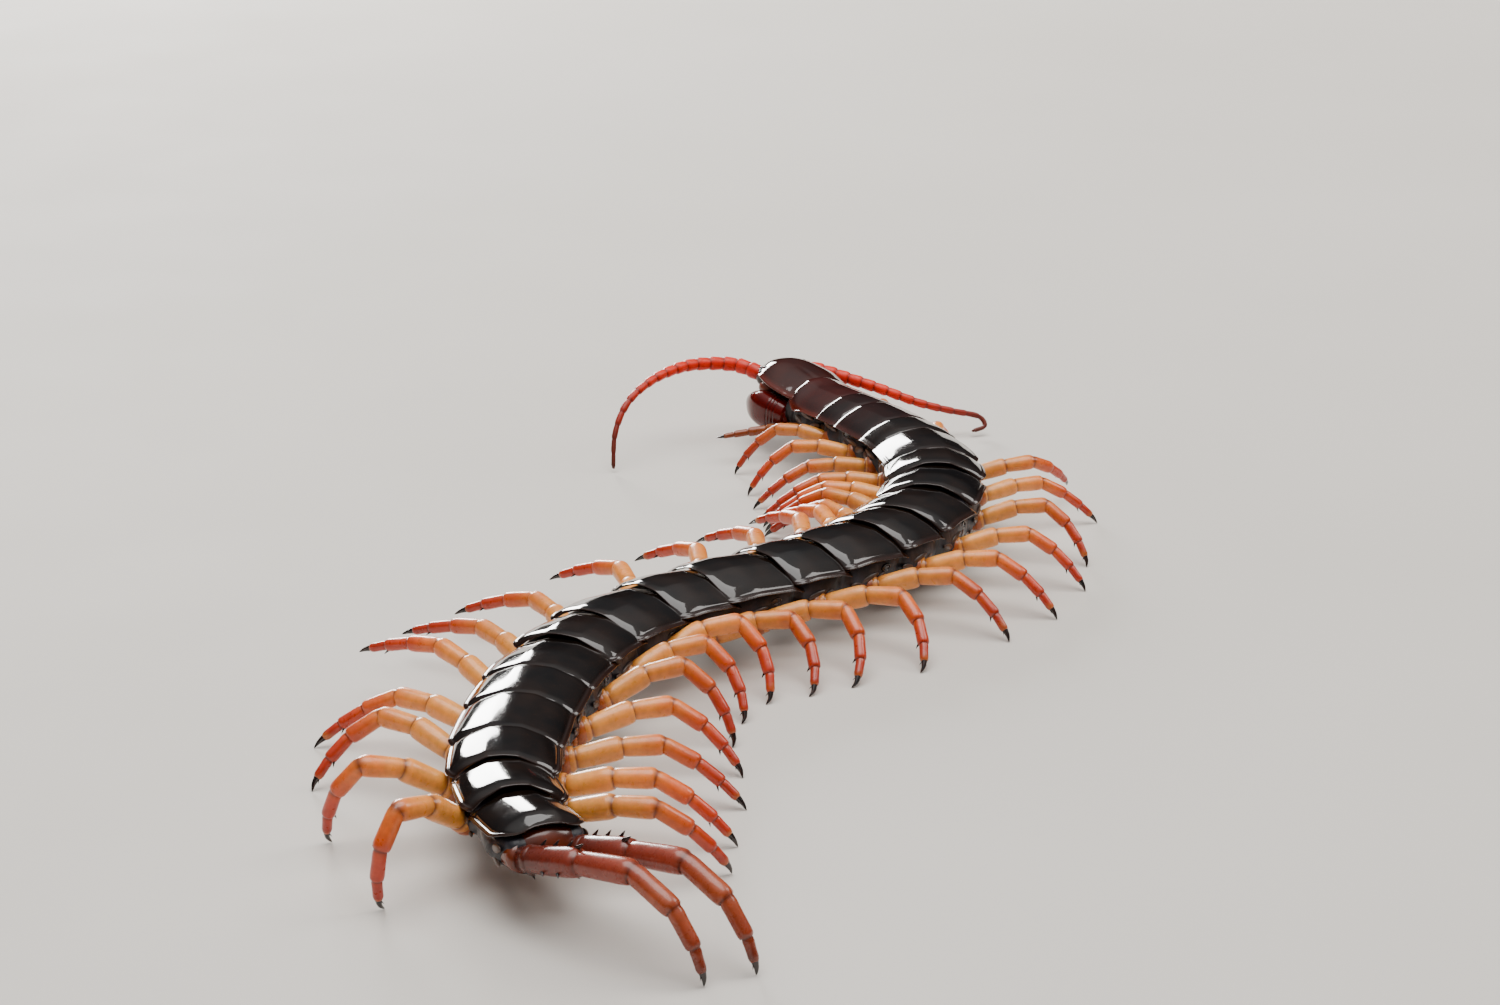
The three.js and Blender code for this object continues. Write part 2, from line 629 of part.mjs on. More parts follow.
function centipede() {
  const group = new THREE.Group();
  const add = (name, solid, material) => group.add(meshOf(name, solid, material));
  const segments = segmentLengths.length;
  const trunkClearance = solidOf(trunkLength(0, segments, GAP));
  add("head", head(), materials.head);
  add("coxosternite", coxosternite(), materials.claw);
  add("maxillae", maxillae(), materials.mouth);
  for (let first = 0; first < segments; first += SEGMENTS_PER_PIECE) {
    const last = first + SEGMENTS_PER_PIECE;
    const pieces = [trunkLength(first, last)];
    if (last === segments) pieces.push(...coxopleura("left"), ...coxopleura("right"));
    add(`trunk_${last / SEGMENTS_PER_PIECE}`, joined(pieces), materials.tergite);
  }
  for (const sideName of ["left", "right"]) {
    add(`antenna_${sideName}`, antenna(sideName), materials.antenna);
    add(`forcipule_${sideName}`, forcipule(sideName), materials.claw);
    LEG_LENGTHS.forEach((_, segment) => {
      const number = String(segment + 1).padStart(2, "0");
      add(`leg_${sideName}_${number}`, walkingLeg(sideName, segment, trunkClearance), materials.leg);
    });
    add(`leg_${sideName}_${segments}`, ultimateLeg(sideName), materials.ultimate);
  }
  return group;
}

export default centipede();
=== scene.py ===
"""Looks of a still giant centipede: plates, skin, legs, antennae and mouthparts over plain solids."""

import math

import bmesh
import bpy
import numpy as np
from mathutils import Matrix


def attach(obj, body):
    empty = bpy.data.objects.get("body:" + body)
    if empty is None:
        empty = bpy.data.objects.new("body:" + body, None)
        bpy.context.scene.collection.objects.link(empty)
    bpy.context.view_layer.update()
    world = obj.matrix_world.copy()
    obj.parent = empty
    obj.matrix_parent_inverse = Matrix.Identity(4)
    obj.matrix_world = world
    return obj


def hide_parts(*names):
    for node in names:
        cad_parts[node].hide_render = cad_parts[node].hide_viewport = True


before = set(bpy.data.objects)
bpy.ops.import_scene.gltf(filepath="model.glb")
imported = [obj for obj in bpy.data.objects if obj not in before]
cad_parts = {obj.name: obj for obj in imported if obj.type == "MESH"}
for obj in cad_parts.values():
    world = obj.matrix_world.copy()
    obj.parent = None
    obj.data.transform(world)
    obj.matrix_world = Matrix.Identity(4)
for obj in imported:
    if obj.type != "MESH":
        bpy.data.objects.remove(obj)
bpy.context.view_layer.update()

# Lengths are millimetres and angles degrees until a mesh is made
MM = 0.001
# Middle of the model's box in plan, where the part's origin lies
PLAN_CENTRE = np.array([-1.165, -48.16, 0.0])
UP = np.array([0.0, 0.0, 1.0])
SIDES = {"left": -1, "right": 1}

# Trunk
BODY_LENGTH = 160.0
HEAD_LENGTH = 10.0
HALF_WIDTH = 6.1
TOP = 9.46
DEPTH = 7.06
# A plate's arch: the share of the half-width where each bend starts, its added slope and its softness
ARCH_BENDS = [(0.05, 0.4, 0.05), (0.3, 1.75, 0.028), (0.74, 2.1, 0.05)]
LENGTH_SHARES = [
    0.75, 0.45, 0.75, 0.5, 0.85, 0.6, 0.9, 0.95, 0.7, 0.95, 0.75,
    1.0, 0.8, 1.0, 0.8, 1.0, 0.8, 0.95, 0.75, 0.85, 0.85,
]
WIDTH_SHARES = [
    0.84, 0.85, 0.88, 0.9, 0.93, 0.95, 0.97, 1, 1, 1, 1,
    1, 1, 1, 0.99, 0.97, 0.95, 0.92, 0.88, 0.82, 0.74,
]
SEGMENTS = len(LENGTH_SHARES)
LENGTHS = [s * (BODY_LENGTH - HEAD_LENGTH) / sum(LENGTH_SHARES) for s in LENGTH_SHARES]
SPIRACLE_SEGMENTS = [3, 5, 8, 10, 12, 14, 16, 18, 20]
SPIRACLE_HALF_SIZE = (0.62, 0.34)
SPIRACLE_RIM = 0.12
# Place along the segment and height above the underside
SPIRACLE_PLACE = (0.3, 3.35)
# Side plates round a hip: distance behind it, height, half-length, half-height and tilt
PLEURITES = [
    (1.55, 2.5, 1.15, 0.42, -18),
    (-0.2, 3.1, 1.35, 0.36, 8),
    (-1.85, 2.3, 0.8, 0.5, 30),
    (1.3, 1.0, 0.8, 0.36, 12),
]
PLATE_THICKNESS = 0.16
STERNITE_THICKNESS = 0.3
HEAD_PLATE_THICKNESS = 0.34

# Way of the body over the floor
NECK = (8.4, 18.4)
HEADINGS = [-36, -26.9, 4.9, 41.5, 49.5, 18.2, 2.1, -25.7]
SEGMENTS_PER_HEADING = 3
WALK_STEPS = 20
HEAD_HEADING = -32

# Walking legs
LEG_STATION = 0.62
HIP_OUT = 0.72
HIP_HEIGHT = 1.5
LEG_LENGTHS = [
    13, 15.5, 16.3, 16.7, 17, 17.4, 17.9, 18.6, 19.2, 19.8,
    20.2, 20.2, 20.2, 20.2, 20.2, 20.4, 20.6, 20.6, 20.5, 20.6,
]
# Length of a leg with the radii below; the others are scaled
LEG_THICKNESS_LENGTH = 18
# How brown the first legs are
LEG_BROWN = {0: 0.85, 1: 0.25}
# Height of a standing claw's middle line at its tip
CLAW_LIFT = 0.04
# Share of the length, bend, radius at the near joint and largest radius of each article
LEG_ARTICLES = [
    (0.1, 0.2, 1.2, 1.15),
    (0.22, 0, 0.98, 1.08),
    (0.19, 0.5, 0.86, 0.94),
    (0.18, 2, 0.74, 0.78),
    (0.14, 2.5, 0.58, 0.6),
    (0.1, 2.8, 0.45, 0.44),
    (0.07, 3.3, 0.33, 0.24),
]
# Headward sweep of each foot, its distance as a share of the leg's length, its height,
# and how far the knee leans headwards
LEG_SWEEPS = {
    "left": [44, 40, 21, 12, 7, 6, 10, 16, 22, 25, 18, 15, 10, 7, 18, 22, 7, 5, -2, -32],
    "right": [50, 50, 50, 55, 12, 13, -4, 15, 20, 25, 10, 11, 17, 21, 13, 11, 6, 1, -12, -21],
}
LEG_REACHES = {
    "left": [
        0.92, 0.8, 0.83, 0.9, 0.91, 0.9, 0.88, 0.88, 0.92, 0.9,
        0.88, 0.86, 0.88, 0.91, 0.95, 0.95, 0.87, 0.75, 0.59, 0.51,
    ],
    "right": [
        0.74, 0.78, 0.78, 0.8, 0.83, 0.88, 0.77, 0.84, 0.86, 0.84,
        0.74, 0.67, 0.65, 0.6, 0.63, 0.69, 0.81, 0.88, 0.87, 0.8,
    ],
}
LEG_LIFTS = {
    "left": [3.3, 0, 0, 0, 0, 0, 0, 0, 2.2, 3.2, 2.8, 2.6, 2.8, 2.4, 3, 4.6, 0, 0, 0, 0],
    "right": [0, 0, 0, 0, 1.6, 0, 0, 0, 0, 0, 0, 0, 0, 0, 0, 0, 0, 0, 0, 0],
}
LEG_LEANS = {
    "left": [95, 30, 20, 20, 20, 18, 22, 32, 42, 48, 55, 55, 55, 55, 50, 30, 40, 38, -20, -6],
    "right": [20, 20, 35, 25, -40, 18, 35, 32, 25, 35, 50, 54, 54, 45, 46, 35, 40, 30, 0, -25],
}

# Ultimate legs
ULTIMATE_LENGTH = 24.5
ULTIMATE_TURN = 27
ULTIMATE_REACH = 0.81
ULTIMATE_OUT = 2.45
ULTIMATE_HEIGHT = 6.3
ULTIMATE_ARTICLES = [
    (0.27, 0, 1.25, 1.4),
    (0.24, 0.15, 1.15, 1.25),
    (0.2, 1.3, 1, 1.02),
    (0.15, 2.2, 0.78, 0.76),
    (0.09, 2.7, 0.55, 0.5),
    (0.05, 3.2, 0.36, 0.2),
]
COXOPLEURA_STATIONS = (20.35, 21.12)
# Last segment: height, and radii to the side, along and upwards
TAIL_HEIGHT = 6.5
TAIL_RADII = (3.3, 1.7, 2.2)

# Head
HEAD_ARCH_POWER = 2.2
# Distance ahead of the neck, half-width, crest, arch and underside
HEAD_SECTIONS = np.array([
    [-0.5, 4.0, 9.36, 1.2, 6.1],
    [0.52, 4.2, 9.5, 1.3, 6.1],
    [1.8, 4.4, 9.8, 1.4, 6.2],
    [4.2, 4.6, 10.2, 1.4, 6.3],
    [6.9, 4.1, 10.5, 1.4, 6.3],
    [8.8, 3.2, 10.2, 1.1, 6.5],
    [9.9, 2.2, 9.7, 0.7, 6.9],
    [10.4, 1.1, 9.2, 0.4, 7.4],
    [10.55, 0.25, 9.05, 0.1, 7.6],
])
# Eyes: distance ahead of the neck and to the side
OCELLI = [(8.3, 3.15), (7.6, 3.6), (7.7, 2.85), (8.9, 2.65)]
OCELLUS_RADIUS = 0.28

ANTENNA_ARTICLES = 18
ANTENNA_RADII = (1.08, 0.25)
# Place along an article, share of the radius there and depth of the joint's colour
ANTENNA_ROWS = [
    (0.0, 0.8, 1.0), (0.1, 0.88, 0.3), (0.3, 0.93, 0.0),
    (0.55, 0.98, 0.0), (0.76, 1.02, 0.0), (0.9, 0.96, 0.25),
]
ANTENNA_WAYS = {
    "left": [
        [2.6, 24.4, 7.6], [0.9, 26, 8.3], [-2.2, 27.4, 8.9], [-6.5, 25.8, 9.4], [-9.5, 23, 9.5],
        [-12.5, 19.5, 8.9], [-15, 16, 7.3], [-16.4, 13.4, 4.3], [-16.6, 11.3, 0.5],
    ],
    "right": [
        [4.6, 25.9, 7.6], [5, 27.9, 8.1], [8, 29.5, 7.7], [13, 28.2, 6.6], [17, 26.9, 5.6],
        [21, 26.1, 4.3], [25, 26, 3.3], [28.6, 26.8, 2.3], [29.4, 26.2, 1.2], [27.8, 25.3, 0.8],
    ],
}

# Mouthparts
# Places to the side, ahead of the neck and above the floor, with two radii
FORCIPULE_WAY = [
    [3.5, 1.3, 5, 1.7, 1.9],
    [4.2, 3.4, 5.2, 1.75, 2.2],
    [4.5, 5.5, 5.3, 1.65, 2.2],
    [4.3, 7.3, 5.1, 1.35, 1.8],
    [3.7, 8.6, 4.7, 1.05, 1.2],
    [2.6, 9.7, 4.5, 0.8, 0.8],
    [1.4, 10.2, 4.3, 0.5, 0.5],
    [0.4, 10, 4.1, 0.14, 0.14],
]
# Place along the claw and depth of each fold
FORCIPULE_FOLDS = [(0.11, 0.05), (0.15, 0.035), (0.185, 0.05), (0.6, 0.03)]
# Distance ahead of the neck, half-width, height and half-thickness
COXOSTERNITE_SECTIONS = [
    [6.3, 2.1, 3.9, 0.6],
    [5.2, 2.9, 4.1, 1],
    [3.6, 3.9, 4.3, 1.3],
    [1.8, 4.9, 4.7, 1.7],
    [0.52, 5, 4.8, 1.8],
]
# Distances of the teeth to the side
TOOTH_PLACES = [0.55, 1.05, 1.55, 2]
# Like the forcipule's way
PALP_WAY = [
    [0.35, 6.5, 5.2, 0.62, 0.62],
    [1.15, 7.5, 5.15, 0.62, 0.62],
    [1.05, 8.4, 4.95, 0.45, 0.45],
    [0.85, 9, 4.7, 0.22, 0.22],
]
# Sides of the mouth, then lobes of the first maxillae: place, radii, rows, sides and darkness
MOUTH_BALLS = [
    ((3.35, 6.7, 7.35), (0.75, 1.3, 0.8), 10, 20, 0.15),
    ((0.42, 7.0, 5.75), (0.42, 1.1, 0.45), 9, 18, 0.2),
]


def unit(vector):
    return vector / np.linalg.norm(vector)


def mix(a, b, t):
    return a + (b - a) * t


def smoothstep(value):
    t = min(max(value, 0.0), 1.0)
    return t * t * (3 - 2 * t)


def bell(value, width):
    """One at zero, and close to nothing beyond two widths"""
    return math.exp(-((value / width) ** 2))


def boxy(value, power):
    """Signed power of a sine or cosine, which makes a circle boxier"""
    return np.sign(value) * np.abs(value) ** power


def side_of(direction, steepest=0.95):
    """Level direction across a given one"""
    return unit(np.cross(UP, direction)) if abs(direction[2]) < steepest else np.array([1.0, 0, 0])


def axes_round(direction, side):
    """Three axes from a direction and a side at right angles to it"""
    return [side, np.cross(direction, side), direction]


def level_frame(heading):
    """Level directions of a heading in radians, which turns from +Y towards +X"""
    forward = np.array([math.sin(heading), math.cos(heading), 0.0])
    right = np.array([math.cos(heading), -math.sin(heading), 0.0])
    return forward, right


def smooth_value(keys, place):
    """Smooth value between evenly spaced keys"""
    first = min(int(place), len(keys) - 2)
    t = place - first
    a, b, c, d = (keys[min(max(first + i, 0), len(keys) - 1)] for i in (-1, 0, 1, 2))
    start = (2 * t**3 - 3 * t * t + 1) * b + (t**3 - 2 * t * t + t) * (c - a) / 2
    return start + (3 * t * t - 2 * t**3) * c + (t**3 - t * t) * (d - b) / 2


def heading_at(station):
    return math.radians(smooth_value(HEADINGS, min(max(station, 0), SEGMENTS) / SEGMENTS_PER_HEADING))


def walk_body():
    points = [np.array([*NECK, 0.0])]
    for segment, length in enumerate(LENGTHS):
        for step in range(WALK_STEPS):
            forward, _ = level_frame(heading_at(segment + (step + 0.5) / WALK_STEPS))
            points.append(points[-1] - forward * length / WALK_STEPS)
    return points


BODY_PATH = walk_body()


def body_at(station):
    """Place and directions at a station, which counts segments from the neck"""
    forward, right = level_frame(heading_at(station))
    if station < 0:
        return BODY_PATH[0] - forward * station * LENGTHS[0], forward, right
    place = station * WALK_STEPS
    first = min(int(place), len(BODY_PATH) - 2)
    centre = mix(BODY_PATH[first], BODY_PATH[first + 1], place - first)
    return centre, forward, right


HEAD_FORWARD, HEAD_RIGHT = level_frame(math.radians(HEAD_HEADING))


def head_point(side, ahead, height):
    return np.array([*NECK, height]) + HEAD_RIGHT * side + HEAD_FORWARD * ahead


def width_share(station):
    return float(np.interp(station - 0.5, range(SEGMENTS), WIDTH_SHARES))


def underside(station):
    return TOP - DEPTH * width_share(station)


def soft_ramp(value, width):
    """Zero, then rising with slope one, with a round bend"""
    return width * math.log1p(math.exp(min(value / width, 40.0)))


def arch_drop(share):
    """How far a plate lies below its crest: a flat top, a slope and a steeper margin"""
    return sum(slope * soft_ramp(abs(share) - start, softness) for start, slope, softness in ARCH_BENDS)


def smooth_curve(points, count):
    """Evenly spaced points on a smooth curve through the given ones"""
    points = np.asarray(points, float)
    padded = np.vstack([2 * points[0] - points[1], points, 2 * points[-1] - points[-2]])
    dense = []
    for i in range(len(points) - 1):
        a, b, c, d = padded[i : i + 4]
        for t in np.linspace(0, 1, 24, endpoint=False):
            bend = 2 * a - 5 * b + 4 * c - d + t * (3 * (b - c) + d - a)
            dense.append(b + 0.5 * t * (c - a + t * bend))
    dense = np.array(dense + [points[-1]])
    lengths = np.concatenate([[0], np.cumsum(np.linalg.norm(np.diff(dense, axis=0), axis=1))])
    places = np.linspace(0, lengths[-1], count)
    return np.stack([np.interp(places, lengths, dense[:, i]) for i in range(points.shape[1])], 1)


def add_object(name, data):
    made = bpy.data.objects.new(name, data)
    bpy.context.scene.collection.objects.link(made)
    return made


def ring_faces(rows, count, closed=False):
    """Four-sided faces between rings of equally many points"""
    faces = []
    for row in range(rows if closed else rows - 1):
        near, far = row * count, (row + 1) % rows * count
        for i in range(count):
            j = (i + 1) % count
            faces.append((near + i, near + j, far + j, far + i))
    return faces


class Shape:
    """Closed bodies of one piece, in millimetres, with named marks on their points"""

    def __init__(self):
        self.points = []
        self.faces = []
        self.marks = {}
        self.count = 0

    def add(self, points, faces, **marks):
        points = np.asarray(points, float).reshape(-1, 3)
        for name in set(marks) | set(self.marks):
            values = self.marks.setdefault(name, [np.zeros(self.count)])
            values.append(np.broadcast_to(np.asarray(marks.get(name, 0.0), float), len(points)))
        self.points.append(points)
        self.faces += [tuple(self.count + i for i in face) for face in faces]
        self.count += len(points)

    def rings(self, rings, strip=False, **marks):
        """Skin over rings of equally many points, closed by fans or, for thin rings, by strips"""
        rings = np.asarray(rings, float)
        rows, count = rings.shape[:2]
        faces = ring_faces(rows, count)
        points = rings.reshape(-1, 3)
        last = (rows - 1) * count
        if strip:
            for start in (0, last):
                for i in range(count // 2 - 1):
                    far = start + count - 1 - i
                    faces.append((start + i, start + i + 1, far - 1, far))
        else:
            centres = np.array([rings[0].mean(0), rings[-1].mean(0)])
            points = np.vstack([points, centres])
            for i in range(count):
                faces.append((rows * count, (i + 1) % count, i))
                faces.append((rows * count + 1, last + i, last + (i + 1) % count))
        spread = {}
        for name, values in marks.items():
            values = np.asarray(values, float)
            if values.ndim == 1:
                values = np.repeat(values[:, None], count, axis=1)
            ends = [] if strip else [values[0].mean(), values[-1].mean()]
            spread[name] = np.concatenate([values.reshape(-1), ends])
        self.add(points, faces, **spread)

    def ball(self, centre, radii, axes, rows, sides, **marks):
        """Ellipsoid with its own axes"""
        centre, axes = np.asarray(centre, float), np.asarray(axes, float)
        rings = []
        for turn in np.linspace(-80, 80, rows):
            a = math.radians(turn)
            ring = []
            for k in range(sides):
                b = 2 * math.pi * k / sides
                local = np.array([math.cos(a) * math.cos(b), math.cos(a) * math.sin(b), math.sin(a)])
                ring.append(centre + (local * radii) @ axes)
            rings.append(ring)
        self.rings(rings, **{name: np.full(rows, value) for name, value in marks.items()})

    def spike(self, root, direction, length, radius, rows=7, sides=10, tip=0.08, **marks):
        """Pointed cone"""
        share = np.linspace(0, 1, rows)
        centres = root + np.outer(share * length, unit(direction))
        self.tube(centres, radius * (1 - share) ** 0.8 + radius * tip, sides, **marks)

    def tube(self, centres, radii, sides, level_side=None, directions=None, power=1.0, **marks):
        """Round or oval body along a line, boxier for a power below one; radii may be pairs"""
        centres, radii = np.asarray(centres, float), np.asarray(radii, float)
        if radii.ndim == 1:
            radii = np.stack([radii, radii], 1)
        turns = 2 * math.pi * (np.arange(sides) + 0.5) / sides
        across, tall = boxy(np.cos(turns), power), boxy(np.sin(turns), power)
        steps = np.array([unit(s) for s in np.diff(centres, axis=0)])
        rings = []
        side = None
        for i, centre in enumerate(centres):
            if directions is not None and directions[i] is not None:
                along = directions[i]
            else:
                along = unit(steps[max(i - 1, 0)] + steps[min(i, len(steps) - 1)])
            if level_side is not None:
                side = level_side
            elif side is None:
                side = side_of(along)
            side = unit(side - along * (side @ along))
            upright = np.cross(along, side)
            wide, high = radii[i]
            rings.append(centre + np.outer(across * wide, side) + np.outer(tall * high, upright))
        self.rings(rings, **marks)

    def make(self, name, material, slot, replaced=()):
        mesh = bpy.data.meshes.new(name)
        points = (np.vstack(self.points) - PLAN_CENTRE) * MM
        mesh.from_pydata(points.tolist(), [], self.faces)
        for mark, values in self.marks.items():
            attribute = mesh.attributes.new(mark, "FLOAT", "POINT")
            attribute.data.foreach_set("value", np.concatenate(values).astype(np.float32))
        work = bmesh.new()
        work.from_mesh(mesh)
        bmesh.ops.recalc_face_normals(work, faces=work.faces)
        work.to_mesh(mesh)
        work.free()
        mesh.polygons.foreach_set("use_smooth", [True] * len(mesh.polygons))
        mesh.materials.append(material)
        piece = add_object(name, mesh)
        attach(piece, "root")
        if replaced:
            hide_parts(*replaced)


# Materials


def linear(*color):
    """Scene colour of an sRGB colour from 0 to 255"""
    shares = [c / 255 for c in color]
    return (*[s / 12.92 if s <= 0.04045 else ((s + 0.055) / 1.055) ** 2.4 for s in shares], 1.0)


class Nodes:
    """Node tree of a material or of the sky"""

    def __init__(self, tree):
        self.tree = tree

    def set(self, node, settings):
        """Settings of a node or, with an underscore for each space, of its sockets"""
        for name, value in settings.items():
            if hasattr(node, name):
                setattr(node, name, value)
            else:
                node.inputs[name.replace("_", " ")].default_value = value

    def feed(self, node, sources):
        """Link or set each socket"""
        for socket, source in sources.items():
            if hasattr(source, "is_output"):
                self.tree.links.new(source, node.inputs[socket])
            else:
                node.inputs[socket].default_value = source

    def node(self, kind, output, sources=(), **settings):
        """New node, of which the output is handed on"""
        made = self.tree.nodes.new(kind)
        self.set(made, settings)
        self.feed(made, dict(sources))
        return made.outputs[output]

    def ramp(self, source, stops):
        """Colours or greys over a value, from (place, colour) pairs"""
        output = self.node("ShaderNodeValToRGB", "Color", {"Fac": source})
        elements = output.node.color_ramp.elements
        while len(elements) > 1:
            elements.remove(elements[-1])
        for i, (place, color) in enumerate(stops):
            element = elements[0] if i == 0 else elements.new(place)
            element.position = place
            element.color = color if hasattr(color, "__len__") else (color, color, color, 1.0)
        return output


class Finish(Nodes):
    """Material made of nodes"""

    def __init__(self, name, **settings):
        self.material = bpy.data.materials.new(name)
        self.material.use_nodes = True
        super().__init__(self.material.node_tree)
        self.shader = self.tree.nodes["Principled BSDF"]
        self.set(self.shader, settings)
        self.place = self.node("ShaderNodeTexCoord", "Object")
        self.bumped = None

    def noise(self, scale, detail=3.0, roughness=0.55, distortion=0.0, stretch=None):
        place = self.place
        if stretch:
            place = self.node("ShaderNodeMapping", "Vector", {"Vector": place}, Scale=stretch)
        return self.node(
            "ShaderNodeTexNoise", "Fac", {"Vector": place},
            Scale=scale, Detail=detail, Roughness=roughness, Distortion=distortion,
        )

    def cells(self, scale):
        return self.node("ShaderNodeTexVoronoi", "Distance", {"Vector": self.place}, Scale=scale)

    def mark(self, name):
        return self.node("ShaderNodeAttribute", "Fac", attribute_name=name)

    def blend(self, share, a, b, mode="MIX"):
        # Sockets 6 and 7 and output 2 are those of colours
        sources = {0: share, 6: a, 7: b}
        return self.node("ShaderNodeMix", 2, sources, data_type="RGBA", blend_type=mode)

    def math(self, operation, a, b=0.0, clamp=False):
        return self.node("ShaderNodeMath", 0, {0: a, 1: b}, operation=operation, use_clamp=clamp)

    def patches(self, dark, warm, scale, low, high, detail=4.0):
        """Two colours in soft patches"""
        share = self.ramp(self.noise(scale, detail), [(low, 0.0), (high, 1.0)])
        return self.blend(share, linear(*dark), linear(*warm))

    def banded(self, stops, scale, sway, mottle, low, high, share):
        """Colours along the piece, with wandering borders and a mottle over them"""
        wander = self.math("MULTIPLY", self.math("SUBTRACT", self.noise(scale), 0.5), sway)
        along = self.math("ADD", self.mark("along"), wander)
        base = self.ramp(along, [(place, linear(*color)) for place, color in stops])
        return self.blend(share, base, self.ramp(mottle, [(0.35, low), (0.65, high)]), "MULTIPLY")

    def folds(self, base, share, color):
        """Darker skin in the joints"""
        return self.blend(self.math("MULTIPLY", self.mark("joint"), share), base, linear(*color))

    def color(self, source):
        self.feed(self.shader, {"Base Color": source})

    def roughness(self, source, low, high):
        spread = self.node("ShaderNodeMapRange", "Result", {"Value": source}, To_Min=low, To_Max=high)
        self.feed(self.shader, {"Roughness": spread})

    def bump(self, source, depth_mm, strength):
        sources = {"Height": source, "Normal": self.bumped} if self.bumped else {"Height": source}
        depth = depth_mm * MM
        self.bumped = self.node("ShaderNodeBump", "Normal", sources, Distance=depth, Strength=strength)
        self.feed(self.shader, {"Normal": self.bumped})


def tergite_finish(name, dark, brown, edge):
    finish = Finish(name, Specular_IOR_Level=0.5, IOR=1.5, Coat_Weight=0.2, Coat_Roughness=0.05)
    edges = finish.mark("edge")
    finish.color(finish.blend(edges, finish.patches(dark, brown, 260, 0.35, 0.75), linear(*edge)))
    finish.roughness(finish.math("ADD", finish.noise(900, 5.0, 0.6), edges, clamp=True), 0.02, 0.13)
    finish.bump(finish.noise(330, 2.0, 0.4), 0.035, 0.3)
    # Fine pits
    finish.bump(finish.ramp(finish.cells(1900), [(0.0, 0.0), (0.2, 1.0)]), 0.008, 0.3)
    finish.bump(finish.noise(5200, 3.0, 0.6, stretch=(1.0, 0.5, 1.0)), 0.006, 0.3)
    return finish.material


def skin_finish():
    finish = Finish("pleural_membrane", Specular_IOR_Level=0.45)
    base = finish.patches((22, 23, 30), (52, 51, 60), 420, 0.3, 0.7)
    folds = finish.noise(1100, 3.0, 0.6, 0.6, stretch=(1.0, 1.0, 0.45))
    finish.color(finish.blend(finish.ramp(folds, [(0.35, 0.0), (0.6, 0.65)]), base, linear(26, 22, 22)))
    finish.roughness(finish.noise(1500), 0.3, 0.55)
    finish.bump(folds, 0.12, 0.6)
    finish.bump(finish.cells(4200), 0.03, 0.5)
    return finish.material


def leg_finish(name, colors, brown=None, gloss=(0.26, 0.44)):
    finish = Finish(
        name,
        Specular_IOR_Level=0.5,
        Subsurface_Weight=0.2,
        Subsurface_Radius=(1.0, 0.35, 0.1),
        Subsurface_Scale=0.0009,
        Coat_Weight=0.2,
        Coat_Roughness=0.14,
    )
    base = finish.banded(colors, 420, 0.22, finish.noise(1400, 4.0, 0.6), 0.8, 1.06, 0.75)
    tones = finish.ramp(finish.mark("tone"), [(0.0, 0.84), (1.0, 1.1)])
    base = finish.blend(1.0, base, tones, "MULTIPLY")
    if brown:
        base = finish.blend(finish.mark("brown"), base, linear(*brown))
    finish.color(finish.folds(base, 0.85, (92, 30, 10)))
    finish.roughness(finish.noise(1300, 4.0), *gloss)
    finish.bump(finish.noise(900, 2.0, 0.5), 0.06, 0.35)
    finish.bump(finish.noise(4200, 3.0, 0.6), 0.02, 0.4)
    return finish.material


def claw_finish(name, dark, warm):
    finish = Finish(name, Specular_IOR_Level=0.6, Coat_Weight=0.3, Coat_Roughness=0.1)
    finish.color(finish.patches(dark, warm, 900, 0.35, 0.7, 3.0))
    finish.roughness(finish.noise(2100), 0.14, 0.32)
    finish.bump(finish.noise(3800), 0.012, 0.4)
    return finish.material


def antenna_finish():
    finish = Finish(
        "antenna_cuticle",
        Specular_IOR_Level=0.35,
        Subsurface_Weight=0.15,
        Subsurface_Radius=(1.0, 0.3, 0.15),
        Subsurface_Scale=0.0009,
    )
    colors = [
        (0.0, (176, 28, 10)), (0.12, (226, 40, 14)), (0.5, (234, 46, 18)),
        (0.72, (176, 40, 20)), (0.9, (112, 36, 22)), (1.0, (84, 34, 22)),
    ]
    base = finish.banded(colors, 500, 0.15, finish.noise(1700, 4.0), 0.85, 1.05, 0.7)
    finish.color(finish.folds(base, 0.8, (96, 20, 14)))
    finish.roughness(finish.noise(2300), 0.28, 0.5)
    finish.bump(finish.noise(9000, 2.0, 0.7, stretch=(1.0, 1.0, 0.6)), 0.02, 0.45)
    return finish.material


def shell_finish(name, dark, warm, edge, gloss=(0.12, 0.3), specular=0.5):
    finish = Finish(
        name, Specular_IOR_Level=specular, IOR=1.5, Coat_Weight=0.4 * specular, Coat_Roughness=0.05,
    )
    base = finish.patches(dark, warm, 300, 0.3, 0.72)
    finish.color(finish.blend(finish.mark("edge"), base, linear(*edge)))
    finish.roughness(finish.noise(1100, 4.0, 0.6), *gloss)
    finish.bump(finish.noise(420, 2.0, 0.4), 0.03, 0.3)
    finish.bump(finish.ramp(finish.cells(2100), [(0.0, 0.0), (0.22, 1.0)]), 0.01, 0.35)
    return finish.material


